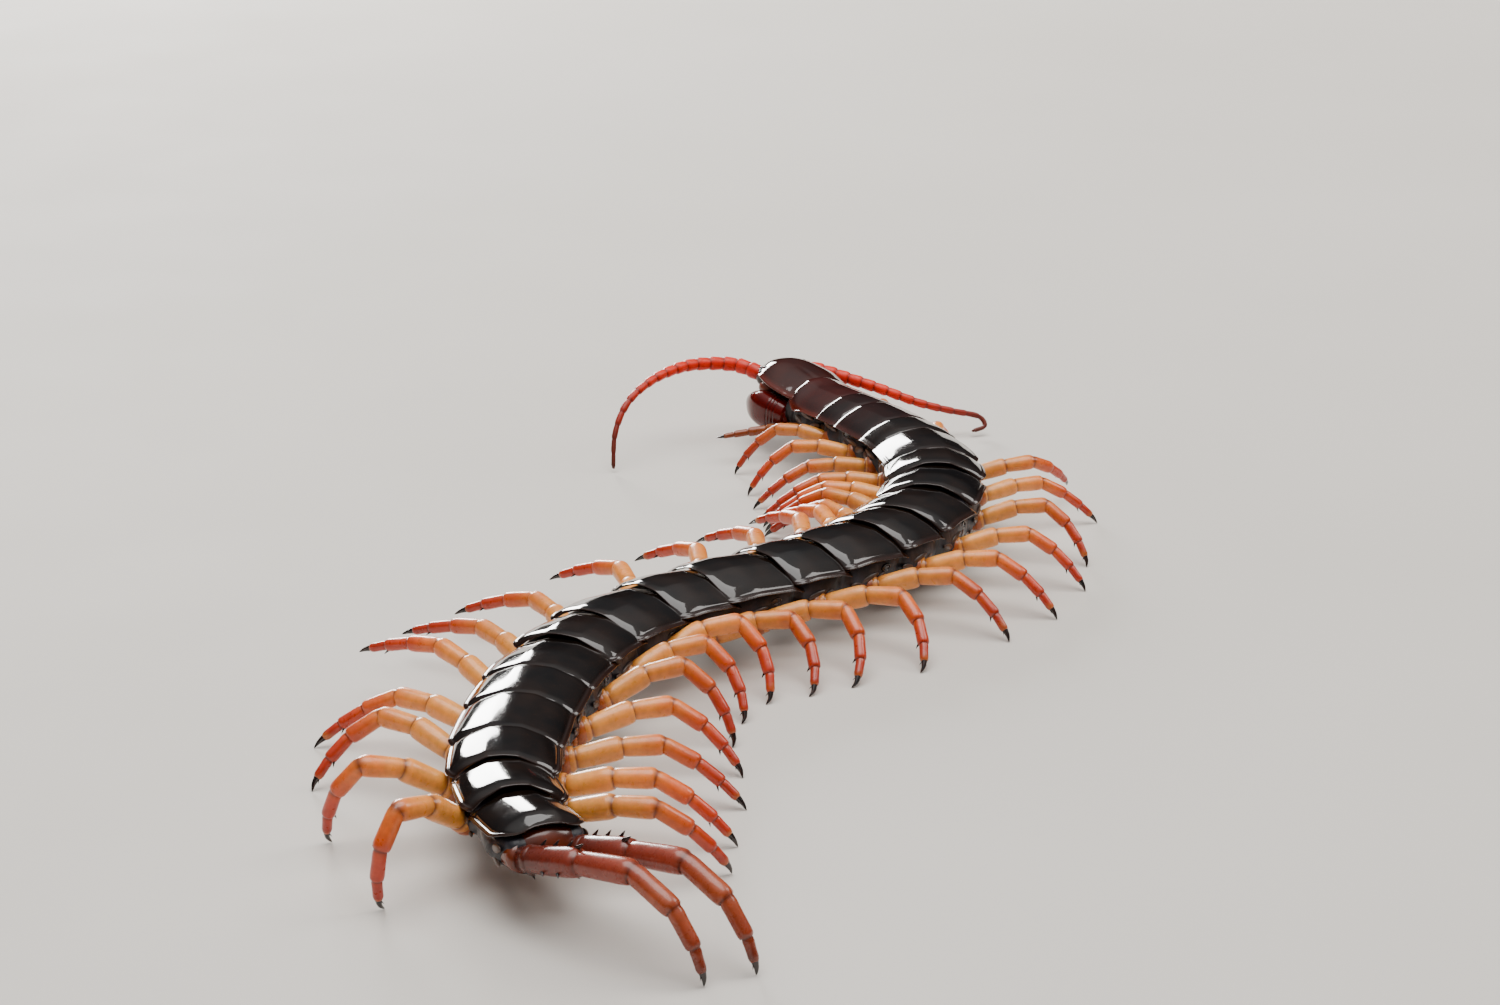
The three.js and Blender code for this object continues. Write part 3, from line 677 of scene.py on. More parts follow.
TERGITE = tergite_finish("tergite_cuticle", (12, 8, 6), (32, 20, 13), (44, 22, 12))
TERGITE_MAROON = tergite_finish("tergite_cuticle_maroon", (22, 7, 4), (42, 14, 8), (66, 22, 12))
TERGITE_FIRST = tergite_finish("tergite_cuticle_first", (44, 8, 4), (64, 16, 8), (98, 32, 15))
HEAD_SHELL = shell_finish("head_cuticle", (40, 9, 3), (58, 18, 7), (92, 27, 13), (0.03, 0.1))
HEAD_FLESH = shell_finish("cheek_cuticle", (34, 10, 7), (56, 17, 10), (96, 30, 18), (0.2, 0.4))
POISON_SHELL = shell_finish("forcipule_cuticle", (76, 6, 3), (98, 11, 6), (24, 6, 4), (0.1, 0.22), 0.3)
MOUTH = shell_finish("maxilla_cuticle", (128, 50, 24), (158, 74, 38), (60, 24, 14), (0.3, 0.5))
STERNITE = shell_finish("sternite_cuticle", (58, 44, 36), (92, 70, 54), (40, 28, 22), (0.2, 0.4))
PLEURITE = shell_finish("pleurite_cuticle", (52, 38, 30), (86, 60, 42), (36, 26, 22), (0.24, 0.42))
COXA = shell_finish("coxopleura_cuticle", (62, 22, 11), (108, 44, 20), (134, 58, 28), (0.14, 0.3))
SKIN = skin_finish()
CLAW = claw_finish("claw_horn", (14, 8, 6), (44, 20, 12))
EYE = claw_finish("ocellus_lens", (8, 6, 6), (22, 14, 12))
SPIRACLE = claw_finish("spiracle_rim", (22, 16, 14), (52, 38, 30))
ANTENNA = antenna_finish()
LEG = leg_finish(
    "leg_cuticle",
    [
        (0.0, (204, 104, 36)), (0.14, (246, 164, 74)), (0.4, (244, 148, 62)),
        (0.58, (226, 104, 38)), (0.74, (200, 62, 24)), (0.9, (176, 44, 18)), (0.97, (190, 108, 42)),
        (1.0, (70, 26, 14)),
    ],
    brown=(122, 60, 22),
    gloss=(0.2, 0.4),
)
ULTIMATE = leg_finish(
    "ultimate_leg_cuticle",
    [
        (0.0, (84, 28, 16)), (0.2, (126, 46, 30)), (0.45, (152, 60, 38)),
        (0.65, (170, 78, 42)), (0.85, (146, 58, 30)), (1.0, (76, 28, 16)),
    ],
    gloss=(0.2, 0.36),
)


# Camera and light first, as the framing fits the photo
FOCAL_MM = 84
SENSOR_MM = 36
PITCH = math.radians(18.82)
CAMERA_DISTANCE = 414.24
# Name, azimuth from +Y towards +X, elevation, distance, size, watts and colour
LIGHTS = [
    ("key_softbox", -18, 15, 0.8, (0.24, 0.2), 6.5, (1.0, 0.985, 0.96)),
    ("top_softbox", 0, 88, 1.1, (1.0, 1.0), 15, (1.0, 0.98, 0.96)),
    ("right_fill", 75, 42, 1.2, (0.5, 0.4), 4, (1.0, 0.97, 0.93)),
]
# Sky by height: dim round the horizon and bright overhead, so that the dark plates stay dark
SKY = [(0.15, (0.02, 0.022, 0.026, 1.0)), (0.5, (0.13, 0.138, 0.15, 1.0)), (1.0, 1.0)]
FLOOR_HALF = 3.0
# The floor lies just below the feet
FLOOR_HEIGHT = -0.00002


def make_camera():
    data = bpy.data.cameras.new("camera")
    data.lens = FOCAL_MM
    data.sensor_width = SENSOR_MM
    data.clip_start = 0.01
    data.clip_end = 20
    camera = add_object("camera", data)
    eye = np.array([0.0, -CAMERA_DISTANCE * math.cos(PITCH), CAMERA_DISTANCE * math.sin(PITCH)])
    camera.location = tuple((eye - PLAN_CENTRE) * MM)
    camera.rotation_euler = (math.pi / 2 - PITCH, 0, 0)
    bpy.context.scene.camera = camera


def make_light(name, azimuth, elevation, distance, size, watts, color):
    """Softbox aimed at the middle of the animal"""
    data = bpy.data.lights.new(name, "AREA")
    data.shape = "RECTANGLE"
    data.size, data.size_y = size
    data.energy = watts
    data.color = color
    lamp = add_object(name, data)
    a, e = math.radians(azimuth), math.radians(elevation)
    # A lamp shines along its own -Z
    back = np.array([math.sin(a) * math.cos(e), math.cos(a) * math.cos(e), math.sin(e)])
    lamp.location = tuple(back * distance)
    axes = axes_round(back, side_of(back))
    lamp.rotation_euler = Matrix(np.stack(axes, 1).tolist()).to_euler()


def make_floor():
    mesh = bpy.data.meshes.new("floor")
    corners = [(x * FLOOR_HALF, y * FLOOR_HALF, 0) for x, y in ((-1, -1), (1, -1), (1, 1), (-1, 1))]
    mesh.from_pydata(corners, [], [(0, 1, 2, 3)])
    finish = Finish("floor_paint", Specular_IOR_Level=0.2)
    finish.color(finish.patches((204, 199, 191), (212, 207, 200), 6, 0.3, 0.7, 3.0))
    finish.roughness(finish.noise(40), 0.7, 0.85)
    mesh.materials.append(finish.material)
    floor = add_object("floor", mesh)
    floor.location.z = FLOOR_HEIGHT


def make_sky():
    world = bpy.data.worlds.new("studio")
    world.use_nodes = True
    nodes = Nodes(world.node_tree)
    place = nodes.node("ShaderNodeTexCoord", "Generated")
    height = nodes.node("ShaderNodeSeparateXYZ", "Z", {"Vector": place})
    nodes.feed(nodes.tree.nodes["Background"], {"Color": nodes.ramp(height, SKY)})
    bpy.context.scene.world = world


# Trunk

# Places across a plate, closer together at the sutures and margins
SUTURE = 0.33
FINE_PLACES = [SUTURE + d for d in (-0.036, -0.022, -0.011, 0.0, 0.011, 0.022, 0.036)]
FINE_PLACES += [0.91, 0.93, 0.945, 0.96, 0.975, 0.99]
ACROSS = np.array(sorted({
    round(float(x), 4) for x in [*np.linspace(-1, 1, 41), *FINE_PLACES, *(-x for x in FINE_PLACES)]
}))
# Turns of the round lips at a plate's ends and of the rims at its sides
LIP_TURNS = np.radians([84, 66, 46, 24])
RIM_TURNS = np.radians([50, 0, -50])
# Depth of the front corners as a share of their length, and how round a corner's end is
FRONT_CUT = 0.75
CORNER_FULLNESS = 0.985


def plate_ring(across, width, middle, half_thick):
    """Places to the side and heights round a plate's section, from the left rim over the top"""
    upper = [(s * width, z + half_thick) for s, z in zip(across, middle)]
    lower = [(s * width, z - half_thick) for s, z in zip(across, middle)][::-1]
    rim = [(width + half_thick * math.cos(a), half_thick * math.sin(a)) for a in RIM_TURNS]
    right_rim = [(x, middle[-1] + z) for x, z in rim]
    left_rim = [(-x, middle[0] + z) for x, z in rim][::-1]
    # Both halves of the ring have equally many points, so that strips can close it
    return left_rim[2:] + upper + right_rim + lower + left_rim[:2]


def ring_marks(values, rim):
    """Marks of the points of such a ring"""
    return [rim, *values, rim, rim, rim, *values[::-1], rim, rim]


def add_plate(shape, segment, front, rear, half, top, thickness, rows, edge):
    """Curved plate of a segment from y = front back to y = rear, with rounded lips and margins"""
    centre, forward, right = body_at(segment + 0.5)
    lip = thickness / 2
    share = np.linspace(-1, 1, rows)
    warped = mix(share, np.sin(share * math.pi / 2), 0.6)
    sections = [(front - lip + lip * math.sin(a), math.cos(a)) for a in LIP_TURNS]
    sections += [(y, 1.0) for y in mix(front - lip, rear + lip, (warped + 1) / 2)]
    sections += [(rear + lip - lip * math.sin(a), math.cos(a)) for a in reversed(LIP_TURNS)]
    rings, edges = [], []
    for y, fullness in sections:
        middle = [top(s, y) - lip for s in ACROSS]
        ring = plate_ring(ACROSS, half(y), middle, lip * fullness)
        rings.append([centre + right * x + forward * y + UP * z for x, z in ring])
        edges.append(ring_marks([edge(s, y) for s in ACROSS], edge(1.0, y)))
    shape.rings(rings, strip=True, edge=edges)


def corner_cut(distance, corner, depth, fullness):
    """What a round corner takes off the half-width, by the distance from the plate's end"""
    t = min(max(1 - distance / corner, 0.0), 1.0)
    return depth * (1 - math.sqrt(1 - fullness * t * t))


def make_tergite(segment):
    number = segment + 1
    length = LENGTHS[segment]
    half_length = length / 2
    wide = HALF_WIDTH * WIDTH_SHARES[segment]
    first, last = number == 1, number == SEGMENTS
    # The front lies under the plate ahead, and the rear reaches over the next one
    front = half_length + (1.15 if first else 1.35)
    rear = -half_length - (0.9 if last else 0.3)
    front_corner = 3.2 if first else 1.2
    rear_corner, rear_cut = (3.4, 0.95) if last else (1.5, 0.75)
    # Length and depth of the rear edge's downward curl
    curl, curl_depth = (1.8, 0.5) if last else (0.9, 0.09)
    suture_depth = 0.0 if number < 4 or last else 0.008
    rim_height = 0.0 if number < 4 else 0.03 + 0.003 * number
    # Forward slope, which some plates lack, where it starts and how much it raises the rear
    fall = 0.0 if number < 5 or 16 < number < 20 else 0.04 if number < 7 else 0.11
    falling, raise_back = (0.85, 0.25) if number > 19 else (0.6, 0.0)
    # Start of the dip under the plate in front
    dip = 0.3 if number == 2 else 0.55

    def half(y):
        share = (y - rear) / (front - rear)
        width = wide * (1.0 - 0.05 * share * share - 0.02 * (1 - share) ** 2)
        width -= corner_cut(front - y, front_corner, FRONT_CUT * front_corner, CORNER_FULLNESS)
        return width - corner_cut(y - rear, rear_corner, rear_cut * rear_corner, CORNER_FULLNESS)

    def front_margin(x):
        """Place of the first plate's front margin, which its corners round off"""
        lost = min(max((0.95 * wide - x) / (FRONT_CUT * front_corner), 0.0), 0.87)
        back = 1 - min(math.sqrt((1 - (1 - lost) ** 2) / CORNER_FULLNESS), 1.0)
        return front - front_corner * back

    def top(s, y):
        a = abs(s)
        # The last plate's round end is cut from the same arch instead of being squeezed
        z = TOP - arch_drop(s * half(y) / wide if last else s)
        if first:
            raised = smoothstep((y - half_length + 2.2) / 3.2)
            z += 0.36 * raised + 0.22 * raised * arch_drop(s)
            z -= 0.26 * soft_ramp(y - front_margin(a * half(y)) + 1.0, 0.1)
        else:
            z += raise_back - fall * soft_ramp(y - half_length + falling * length, 0.25)
            z -= 0.36 * smoothstep((y - half_length + dip) / 1.6)
        z -= curl_depth * smoothstep((rear + curl - y) / curl)
        z += 0.05 * math.sin(math.pi * min(max((y - rear) / length, 0), 1))
        fade = smoothstep((y - rear - 0.35) / 0.5) * smoothstep((half_length + 0.3 - y) / 0.6)
        z -= suture_depth * fade * bell(a - SUTURE, 0.013)
        z -= rim_height * fade * bell(a - 0.93, 0.018)
        return z + 0.5 * rim_height * bell(a - 0.972, 0.02)

    def edge(s, y):
        side = smoothstep((abs(s) - 0.88) / 0.12)
        back = smoothstep((rear + 0.45 - y) / 0.45)
        ahead = smoothstep((y - front + 0.35) / 0.35) if first else 0.0
        return max(0.8 * side, 0.55 * back, ahead)

    shape = Shape()
    add_plate(shape, segment, front, rear, half, top, PLATE_THICKNESS, 28, edge)
    material = TERGITE_FIRST if first else TERGITE_MAROON if number < 4 else TERGITE
    shape.make(f"tergite_{number:02d}", material, "trunk_plates")


def add_sternite(shape, segment):
    wide = HALF_WIDTH * WIDTH_SHARES[segment] * (0.5 if segment == SEGMENTS - 1 else 0.58)
    floor = underside(segment + 0.5)
    front, rear = LENGTHS[segment] / 2 - 0.15, -LENGTHS[segment] / 2 + 0.2

    def half(y):
        width = wide * (0.93 + 0.07 * (y - rear) / (front - rear))
        return width - corner_cut(front - y, 1.4, 1.0, 0.98) - corner_cut(y - rear, 1.4, 1.0, 0.98)

    def top(s, y):
        a = abs(s)
        fade = smoothstep((front - 0.5 - y) / 0.6) * smoothstep((y - rear - 0.5) / 0.6)
        return floor + 0.3 + 0.28 * a**4 + 0.07 * fade * bell(a - SUTURE, 0.016)

    def edge(s, y):
        return smoothstep((abs(s) - 0.85) / 0.15)

    add_plate(shape, segment, front, rear, half, top, STERNITE_THICKNESS, 14, edge)


def make_sternites():
    shape = Shape()
    for segment in range(SEGMENTS):
        add_sternite(shape, segment)
    shape.make("sternites", STERNITE, "trunk_plates")


# Half of the membrane's section: shares of the half-width and of the way from crest to underside
SKIN_OUTLINE = smooth_curve([
    (0.0, 0.0), (0.42, 0.03), (0.72, 0.13), (0.85, 0.28), (0.885, 0.45),
    (0.88, 0.62), (0.82, 0.78), (0.7, 0.9), (0.5, 0.965), (0.25, 0.985), (0.0, 0.99),
], 29)
SKIN_TOP_DROP = 1.15
SKIN_RINGS_PER_SEGMENT = 16


def skin_ring(station):
    """Points of the membrane at a station, with the right half first"""
    centre, _, right = body_at(station)
    half = HALF_WIDTH * width_share(station)
    floor = underside(station) + 0.12
    crest = TOP - SKIN_TOP_DROP
    segment = min(max(int(station), 0), SEGMENTS - 1)
    share = station - segment
    length = LENGTHS[segment]
    groove = 0.42 * bell(min(share, 1 - share) * length, 0.75)
    hip = underside(segment + 0.5) + HIP_HEIGHT + 0.2
    hip_gap = (share - LEG_STATION) * length
    ring = []
    for out, down in SKIN_OUTLINE:
        z = mix(crest, floor, down)
        flank = smoothstep((down - 0.15) / 0.25) * smoothstep((1.0 - down) / 0.2)
        bulge = 0.5 * bell(hip_gap, 1.5) * bell(z - hip, 1.25)
        bulge += 0.22 * bell(hip_gap - 2.0, 0.8) * bell(z - hip - 1.1, 0.8)
        wave = math.sin(9.5 * station + 1.8 * math.sin(2.2 * z + station))
        wrinkle = 0.05 * wave * math.sin(3.1 * z + 0.7 * station)
        wrinkle += 0.045 * math.sin(26 * station + 2.6 * math.sin(1.7 * z))
        x = out * half + flank * (bulge + wrinkle - groove)
        ring.append((max(x, 0.0), z))
    left = [(-x, z) for x, z in ring[1:-1]][::-1]
    return [centre + right * x + UP * z for x, z in ring + left]


def make_skin():
    stations = [-0.12, -0.06, *np.linspace(0.0, SEGMENTS, SEGMENTS * SKIN_RINGS_PER_SEGMENT + 1)]
    rings = [np.array(skin_ring(float(s))) for s in stations]
    # Rounded end behind the last segment
    last = rings[-1]
    _, forward, _ = body_at(SEGMENTS)
    middle = last.mean(0)
    for turn in np.radians([18, 36, 54, 70, 82]):
        rings.append(middle + (last - middle) * math.cos(turn) - forward * 1.5 * math.sin(turn))
    shape = Shape()
    shape.rings(rings)
    shape.make("pleural_skin", SKIN, "trunk_plates", [f"trunk_{i}" for i in range(1, 8)])


def flank_point(segment, share, height, side, sink):
    """Point just inside the membrane's flank, with the directions outwards and along the body"""
    ring = skin_ring(segment + share)
    centre, forward, right = body_at(segment + share)
    wanted = side * right
    best = min((p for p in ring if (p - centre) @ wanted > 1.0), key=lambda p: abs(p[2] - height))
    return best - wanted * sink, wanted, forward


def add_spiracle(shape, point, outward, forward, rows=24, sides=8):
    """Breathing hole: an oval rim round a flat dark plug, which paints the shade inside the opening"""
    long, tall = SPIRACLE_HALF_SIZE
    points = []
    for b in np.linspace(0, 2 * math.pi, rows, endpoint=False):
        spoke = forward * long * math.cos(b) + UP * tall * math.sin(b)
        for c in np.linspace(0, 2 * math.pi, sides, endpoint=False):
            swell = unit(spoke) * math.cos(c) + outward * math.sin(c)
            points.append(point + spoke + swell * SPIRACLE_RIM)
    shape.add(points, ring_faces(rows, sides, closed=True))
    # Flat plug in the rim's dark colour: painted shade of the hole's inside, since the skin is not cut
    # open
    shape.ball(point, (0.52, 0.26, 0.05), [forward, UP, outward], 5, 18)


def make_pleurites():
    shape, holes = Shape(), Shape()
    for segment in range(SEGMENTS):
        floor = underside(segment + 0.5)
        for side in SIDES.values():
            for back, height, long, tall, tilt in PLEURITES:
                share = LEG_STATION + back / LENGTHS[segment]
                if not 0.06 < share < 0.94:
                    continue
                point, outward, forward = flank_point(segment, share, floor + height, side, 0.03)
                a = math.radians(tilt)
                long_axis = forward * math.cos(a) + UP * math.sin(a)
                tall_axis = np.cross(outward, long_axis)
                shape.ball(point, (long, tall, 0.2), [long_axis, tall_axis, outward], 9, 18)
            if segment + 1 in SPIRACLE_SEGMENTS:
                share, height = SPIRACLE_PLACE
                add_spiracle(holes, *flank_point(segment, share, floor + height, side, 0.02))
    shape.make("pleurites", PLEURITE, "trunk_plates")
    holes.make("spiracles", SPIRACLE, "trunk_plates")


# Legs

# Places along an article, and how far its radius has grown there from the joint's to the largest
SWELLING = [(0.3, 0.45), (0.48, 0.78), (0.66, 1.0)]
# Height of a leg's section as a share of its width
LEG_FLATNESS = 0.96
# A tone of its own for each walking leg
TONES = np.random.default_rng(11)


def leg_chain(articles, length, out, down):
    """Joint points of a leg in its own upright plane, bent so that the last one lands on the target"""

    def place(curl):
        points = [np.zeros(2)]
        for share, bend, *_ in articles:
            a = -curl * bend
            points.append(points[-1] + share * length * np.array([math.cos(a), math.sin(a)]))
        return points

    target = math.hypot(out, down)
    low, high = 0.0, 1.0
    for _ in range(40):
        middle = (low + high) / 2
        if np.linalg.norm(place(middle)[-1]) > target:
            low = middle
        else:
            high = middle
    points = place(low)
    turn = math.atan2(down, out) - math.atan2(points[-1][1], points[-1][0])
    spin = np.array([[math.cos(turn), -math.sin(turn)], [math.sin(turn), math.cos(turn)]])
    return [spin @ p for p in points]


def add_leg(shape, joints, articles, thickness, level_side, sides, brown=0.0, tone=0.5):
    """Jointed skin of a leg up to its claw: swollen articles with a narrow soft fold between them"""
    spans = [b - a for a, b in zip(joints, joints[1:])]
    steps = [unit(span) for span in spans]
    lengths = [np.linalg.norm(span) for span in spans]
    centres, radii, directions, along, soft = [], [], [], [], []
    walked = 0.0
    count = len(articles) - 1
    for i, length in enumerate(lengths[:count]):
        near, swell = (radius * thickness for radius in articles[i][2:])
        far = articles[i + 1][2] * thickness
        # Share of the article, radius there and depth of the fold's colour
        if i == 0:
            rows = [(0.0, near, 0.0)]
        else:
            rows = [(0.0, near * 0.91, 1.0), (min(0.2 * near / length, 0.08), near * 0.98, 0.2)]
        rows.append((0.15, near * 1.02, 0.0))
        rows += [(t, mix(near, swell, grown), 0.0) for t, grown in SWELLING]
        rows.append((0.8, swell * 1.01, 0.0))
        if i == count - 1:
            rows += [(0.9, mix(swell, far, 0.35), 0.0), (0.97, mix(swell, far, 0.8), 0.0)]
            rows.append((1.0, far * 0.86, 0.0))
        else:
            last = 1 - min(0.16 * far / length, 0.06)
            rows += [(mix(0.8, last, 0.6), swell * 0.985, 0.0), (last, mix(swell, far, 0.4), 0.2)]
        for t, radius, fold in rows:
            centres.append(mix(joints[i], joints[i + 1], t))
            radii.append(radius)
            directions.append(unit(steps[i - 1] + steps[i]) if t == 0.0 and i > 0 else steps[i])
            along.append((walked + t * length) / sum(lengths))
            soft.append(fold)
        walked += length
    shape.tube(
        centres, np.outer(radii, (1.0, LEG_FLATNESS)), sides, level_side, directions,
        along=along, joint=soft, brown=np.full(len(along), brown), tone=np.full(len(along), tone),
    )
    # Rounded collar where the leg leaves the body
    shape.ball(
        joints[0] + steps[0] * 0.9, (1.36 * thickness, 1.3 * thickness, 1.05),
        axes_round(steps[0], level_side), 10, 20, joint=0.45, brown=brown, tone=tone,
    )


def add_claw(shape, start, tip, before, radius):
    """Curved claw from the last article to its tip, with two small spines at its base"""
    inward, onward = unit(start - before), unit(tip - start)
    middle = mix(start, tip, 0.5) + (inward - onward) * 0.3 * np.linalg.norm(tip - start)
    line = smooth_curve([start - inward * radius * 0.8, start, middle, tip], 12)
    share = np.linspace(0, 1, 12)
    shape.tube(line, radius * (1 - share) ** 0.75 + 0.035, 12)
    side = side_of(onward, 1.0)
    for sign in (-1, 1):
        root = start + side * sign * radius * 0.6
        shape.spike(root, onward + side * sign * 0.35, radius * 1.7, radius * 0.22, rows=5, sides=6)


def make_leg_pieces(skin, horn, side_name, number, material, slot):
    leg = f"{side_name}_{number:02d}"
    skin.make(f"leg_skin_{leg}", material, slot, [f"leg_{leg}"])
    horn.make(f"leg_claw_{leg}", CLAW, slot)


def walking_leg_joints(side_name, segment):
    sign = SIDES[side_name]
    length = LEG_LENGTHS[segment]
    centre, forward, right = body_at(segment + LEG_STATION)
    half = HALF_WIDTH * WIDTH_SHARES[segment]
    height = underside(segment + 0.5) + HIP_HEIGHT
    root = centre + right * sign * HIP_OUT * half + UP * height
    sweep = math.radians(LEG_SWEEPS[side_name][segment])
    outward = right * sign * math.cos(sweep) + forward * math.sin(sweep)
    lift = LEG_LIFTS[side_name][segment]
    chain = leg_chain(LEG_ARTICLES, length, LEG_REACHES[side_name][segment] * length, lift - height)
    away = [outward * x + UP * z for x, z in chain]
    # The leg's plane leans about the line from the root to the foot
    lean = -sign * math.radians(LEG_LEANS[side_name][segment])
    spin = np.array(Matrix.Rotation(lean, 3, away[-1].tolist()))
    return [root + spin @ p for p in away], spin @ np.cross(UP, outward)


def make_walking_leg(side_name, segment):
    joints, level_side = walking_leg_joints(side_name, segment)
    thickness = LEG_LENGTHS[segment] / LEG_THICKNESS_LENGTH
    brown = LEG_BROWN.get(segment, 0.0)
    skin, horn = Shape(), Shape()
    add_leg(skin, joints, LEG_ARTICLES, thickness, level_side, 20, brown, TONES.uniform())
    tip = joints[-1] + UP * (0.0 if LEG_LIFTS[side_name][segment] else CLAW_LIFT)
    add_claw(horn, joints[-2], tip, joints[-3], 0.3 * thickness)
    # Tarsal spur below the far end of the first tarsus
    along = unit(joints[5] - joints[4])
    below = np.cross(along, level_side)
    if below[2] > 0:
        below = -below
    root = mix(joints[4], joints[5], 0.9) + below * 0.42 * thickness
    horn.spike(root, along + below * 0.8, 0.62 * thickness, 0.12 * thickness, rows=5, sides=7)
    make_leg_pieces(skin, horn, side_name, segment + 1, LEG, "walking_leg")


def ultimate_plan(side_name):
    centre, forward, right = body_at(SEGMENTS)
    centre = centre - forward * (COXOPLEURA_STATIONS[1] - SEGMENTS) * LENGTHS[-1]
    root = centre + right * SIDES[side_name] * ULTIMATE_OUT + UP * ULTIMATE_HEIGHT
    a = math.radians(ULTIMATE_TURN)
    outward = -forward * math.cos(a) + right * math.sin(a)
    reach = ULTIMATE_REACH * ULTIMATE_LENGTH
    chain = leg_chain(ULTIMATE_ARTICLES, ULTIMATE_LENGTH, reach, -ULTIMATE_HEIGHT)
    return [root + outward * x + UP * z for x, z in chain], outward


def make_ultimate_leg(side_name):
    joints, outward = ultimate_plan(side_name)
    along = unit(joints[1] - joints[0])
    level_side = np.cross(UP, outward)
    skin, horn = Shape(), Shape()
    add_leg(skin, joints, ULTIMATE_ARTICLES, 1.0, level_side, 24)
    add_claw(horn, joints[-2], joints[-1] + UP * CLAW_LIFT, joints[-3], 0.36)
    upright = np.cross(along, level_side)
    inner = -SIDES[side_name]
    # Spines below and on the inner side: turn about the article and places along it
    below = (0.3, 0.52, 0.76)
    for turn, shares in ((292, below), (68, below), (208 if inner > 0 else 332, (0.45, 0.72))):
        a = math.radians(turn)
        away = level_side * math.cos(a) + upright * math.sin(a)
        for share in shares:
            root = mix(joints[0], joints[1], share) + away * (1.13 + 0.12 * share)
            horn.spike(root, away + along * 0.75, 0.85, 0.2, rows=6, sides=8)
    corner = mix(joints[0], joints[1], 0.93) + upright * 1.2 + level_side * 0.35 * inner
    horn.spike(corner, along + upright * 0.5, 1.0, 0.26, rows=6, sides=8)
    make_leg_pieces(skin, horn, side_name, SEGMENTS, ULTIMATE, "ultimate_leg")


def make_coxopleura():
    shape, horn = Shape(), Shape()
    for side_name, sign in SIDES.items():
        joints, _ = ultimate_plan(side_name)
        root = joints[0]
        along = unit(joints[1] - root)
        centre, forward, right = body_at(COXOPLEURA_STATIONS[0])
        start = centre + right * sign * ULTIMATE_OUT + UP * (ULTIMATE_HEIGHT - 0.6)
        middle = mix(start, root, 0.6)
        line = smooth_curve([start + forward * 1.2, start, middle, root - along * 0.12], 16)
        share = np.linspace(0, 1, 16)
        radii = 1.0 + 0.55 * np.sin(share * math.pi * 0.62) - 0.18 * share**6
        shape.tube(line, radii, 24, directions=[None] * 15 + [along], edge=share * 0.3)
        process = middle - right * sign * 1.0 - UP * 1.5
        shape.spike(process, -forward, 2.4, 0.55, tip=0.25, rows=8, sides=12)
        for tilt in (-0.25, 0.2):
            spine = process - forward * 2.2 + UP * tilt * 0.5
            horn.spike(spine, -forward + UP * tilt, 0.55, 0.14, rows=5, sides=7)
    # Last segment behind the plates, between the coxopleura
    centre, forward, right = body_at(SEGMENTS)
    shape.ball(centre + UP * TAIL_HEIGHT, TAIL_RADII, [right, forward, UP], 14, 28)
    shape.make("coxopleura", COXA, "trunk_plates")
    horn.make("coxopleura_spines", CLAW, "trunk_plates")


# Head

HEAD_LINE = smooth_curve(HEAD_SECTIONS, 90)
# Where the cheeks begin to round off in front, and the depth of that round
CHEEK_FRONT = 9.4
CHEEK_ROUND = 0.75
SOCKET_RADII = (1.28, 1.2, 1.15)


def head_value(ahead, column):
    return float(np.interp(ahead, HEAD_LINE[:, 0], HEAD_LINE[:, column]))


def head_top(share, ahead, crest, arch):
    """Height of the head plate at a share of its half-width"""
    front = smoothstep((ahead - 6.5) / 4.0)
    return crest - arch * abs(share) ** HEAD_ARCH_POWER - 0.25 * front * share * share


def make_head_plate():
    across = np.linspace(-1, 1, 45)
    half_thick = HEAD_PLATE_THICKNESS / 2
    rings, edges = [], []
    for ahead, half, crest, arch, _ in HEAD_LINE:
        # Shallow groove along the middle of the rear half
        groove = 0.05 * smoothstep((5.5 - ahead) / 3)
        middle = [head_top(s, ahead, crest, arch) - groove * bell(s, 0.09) - half_thick for s in across]
        ring = plate_ring(across, half, middle, half_thick)
        rings.append([head_point(x, ahead, z) for x, z in ring])
        tip = smoothstep((ahead - 9.8) / 0.8)
        values = [0.8 * max(smoothstep((abs(s) - 0.86) / 0.14), tip) for s in across]
        edges.append(ring_marks(values, 0.8))
    shape = Shape()
    shape.rings(rings, strip=True, edge=edges)
    shape.make("head_plate", HEAD_SHELL, "head_plate", ["head"])


def make_cheeks():
    """Sides and underside of the head, with the antennae's round sockets"""
    shape = Shape()
    rings = []
    rounding = CHEEK_FRONT + CHEEK_ROUND * np.sin(np.radians([20, 40, 58, 72, 82]))
    for ahead in [*np.linspace(-0.4, CHEEK_FRONT, 30), *rounding]:
        half = head_value(ahead, 1) - 0.42
        top = head_value(ahead, 2) - head_value(ahead, 3) * 0.5 - 0.3
        low = head_value(ahead, 4)
        middle, rise = (top + low) / 2, (top - low) / 2
        if ahead > CHEEK_FRONT:
            share = math.sqrt(max(1 - ((ahead - CHEEK_FRONT) / (CHEEK_ROUND + 0.01)) ** 2, 0.02))
            half *= 0.35 + 0.65 * share
            rise *= share
        ring = []
        for a in np.linspace(0, 2 * math.pi, 40, endpoint=False):
            tall = boxy(math.sin(a), 0.75)
            out = boxy(math.cos(a), 0.75) * half * (0.89 + 0.11 * tall)
            ring.append(head_point(out, ahead, middle + tall * rise))
        rings.append(ring)
    shape.rings(rings)
    for side_name in SIDES:
        way = smooth_curve(ANTENNA_WAYS[side_name], 200)
        direction = unit(way[14] - way[4])
        axes = axes_round(direction, side_of(direction))
        shape.ball(way[9] - direction * 0.5, SOCKET_RADII, axes, 10, 22)
    shape.make("head_cheeks", HEAD_FLESH, "head_plate", ["head"])


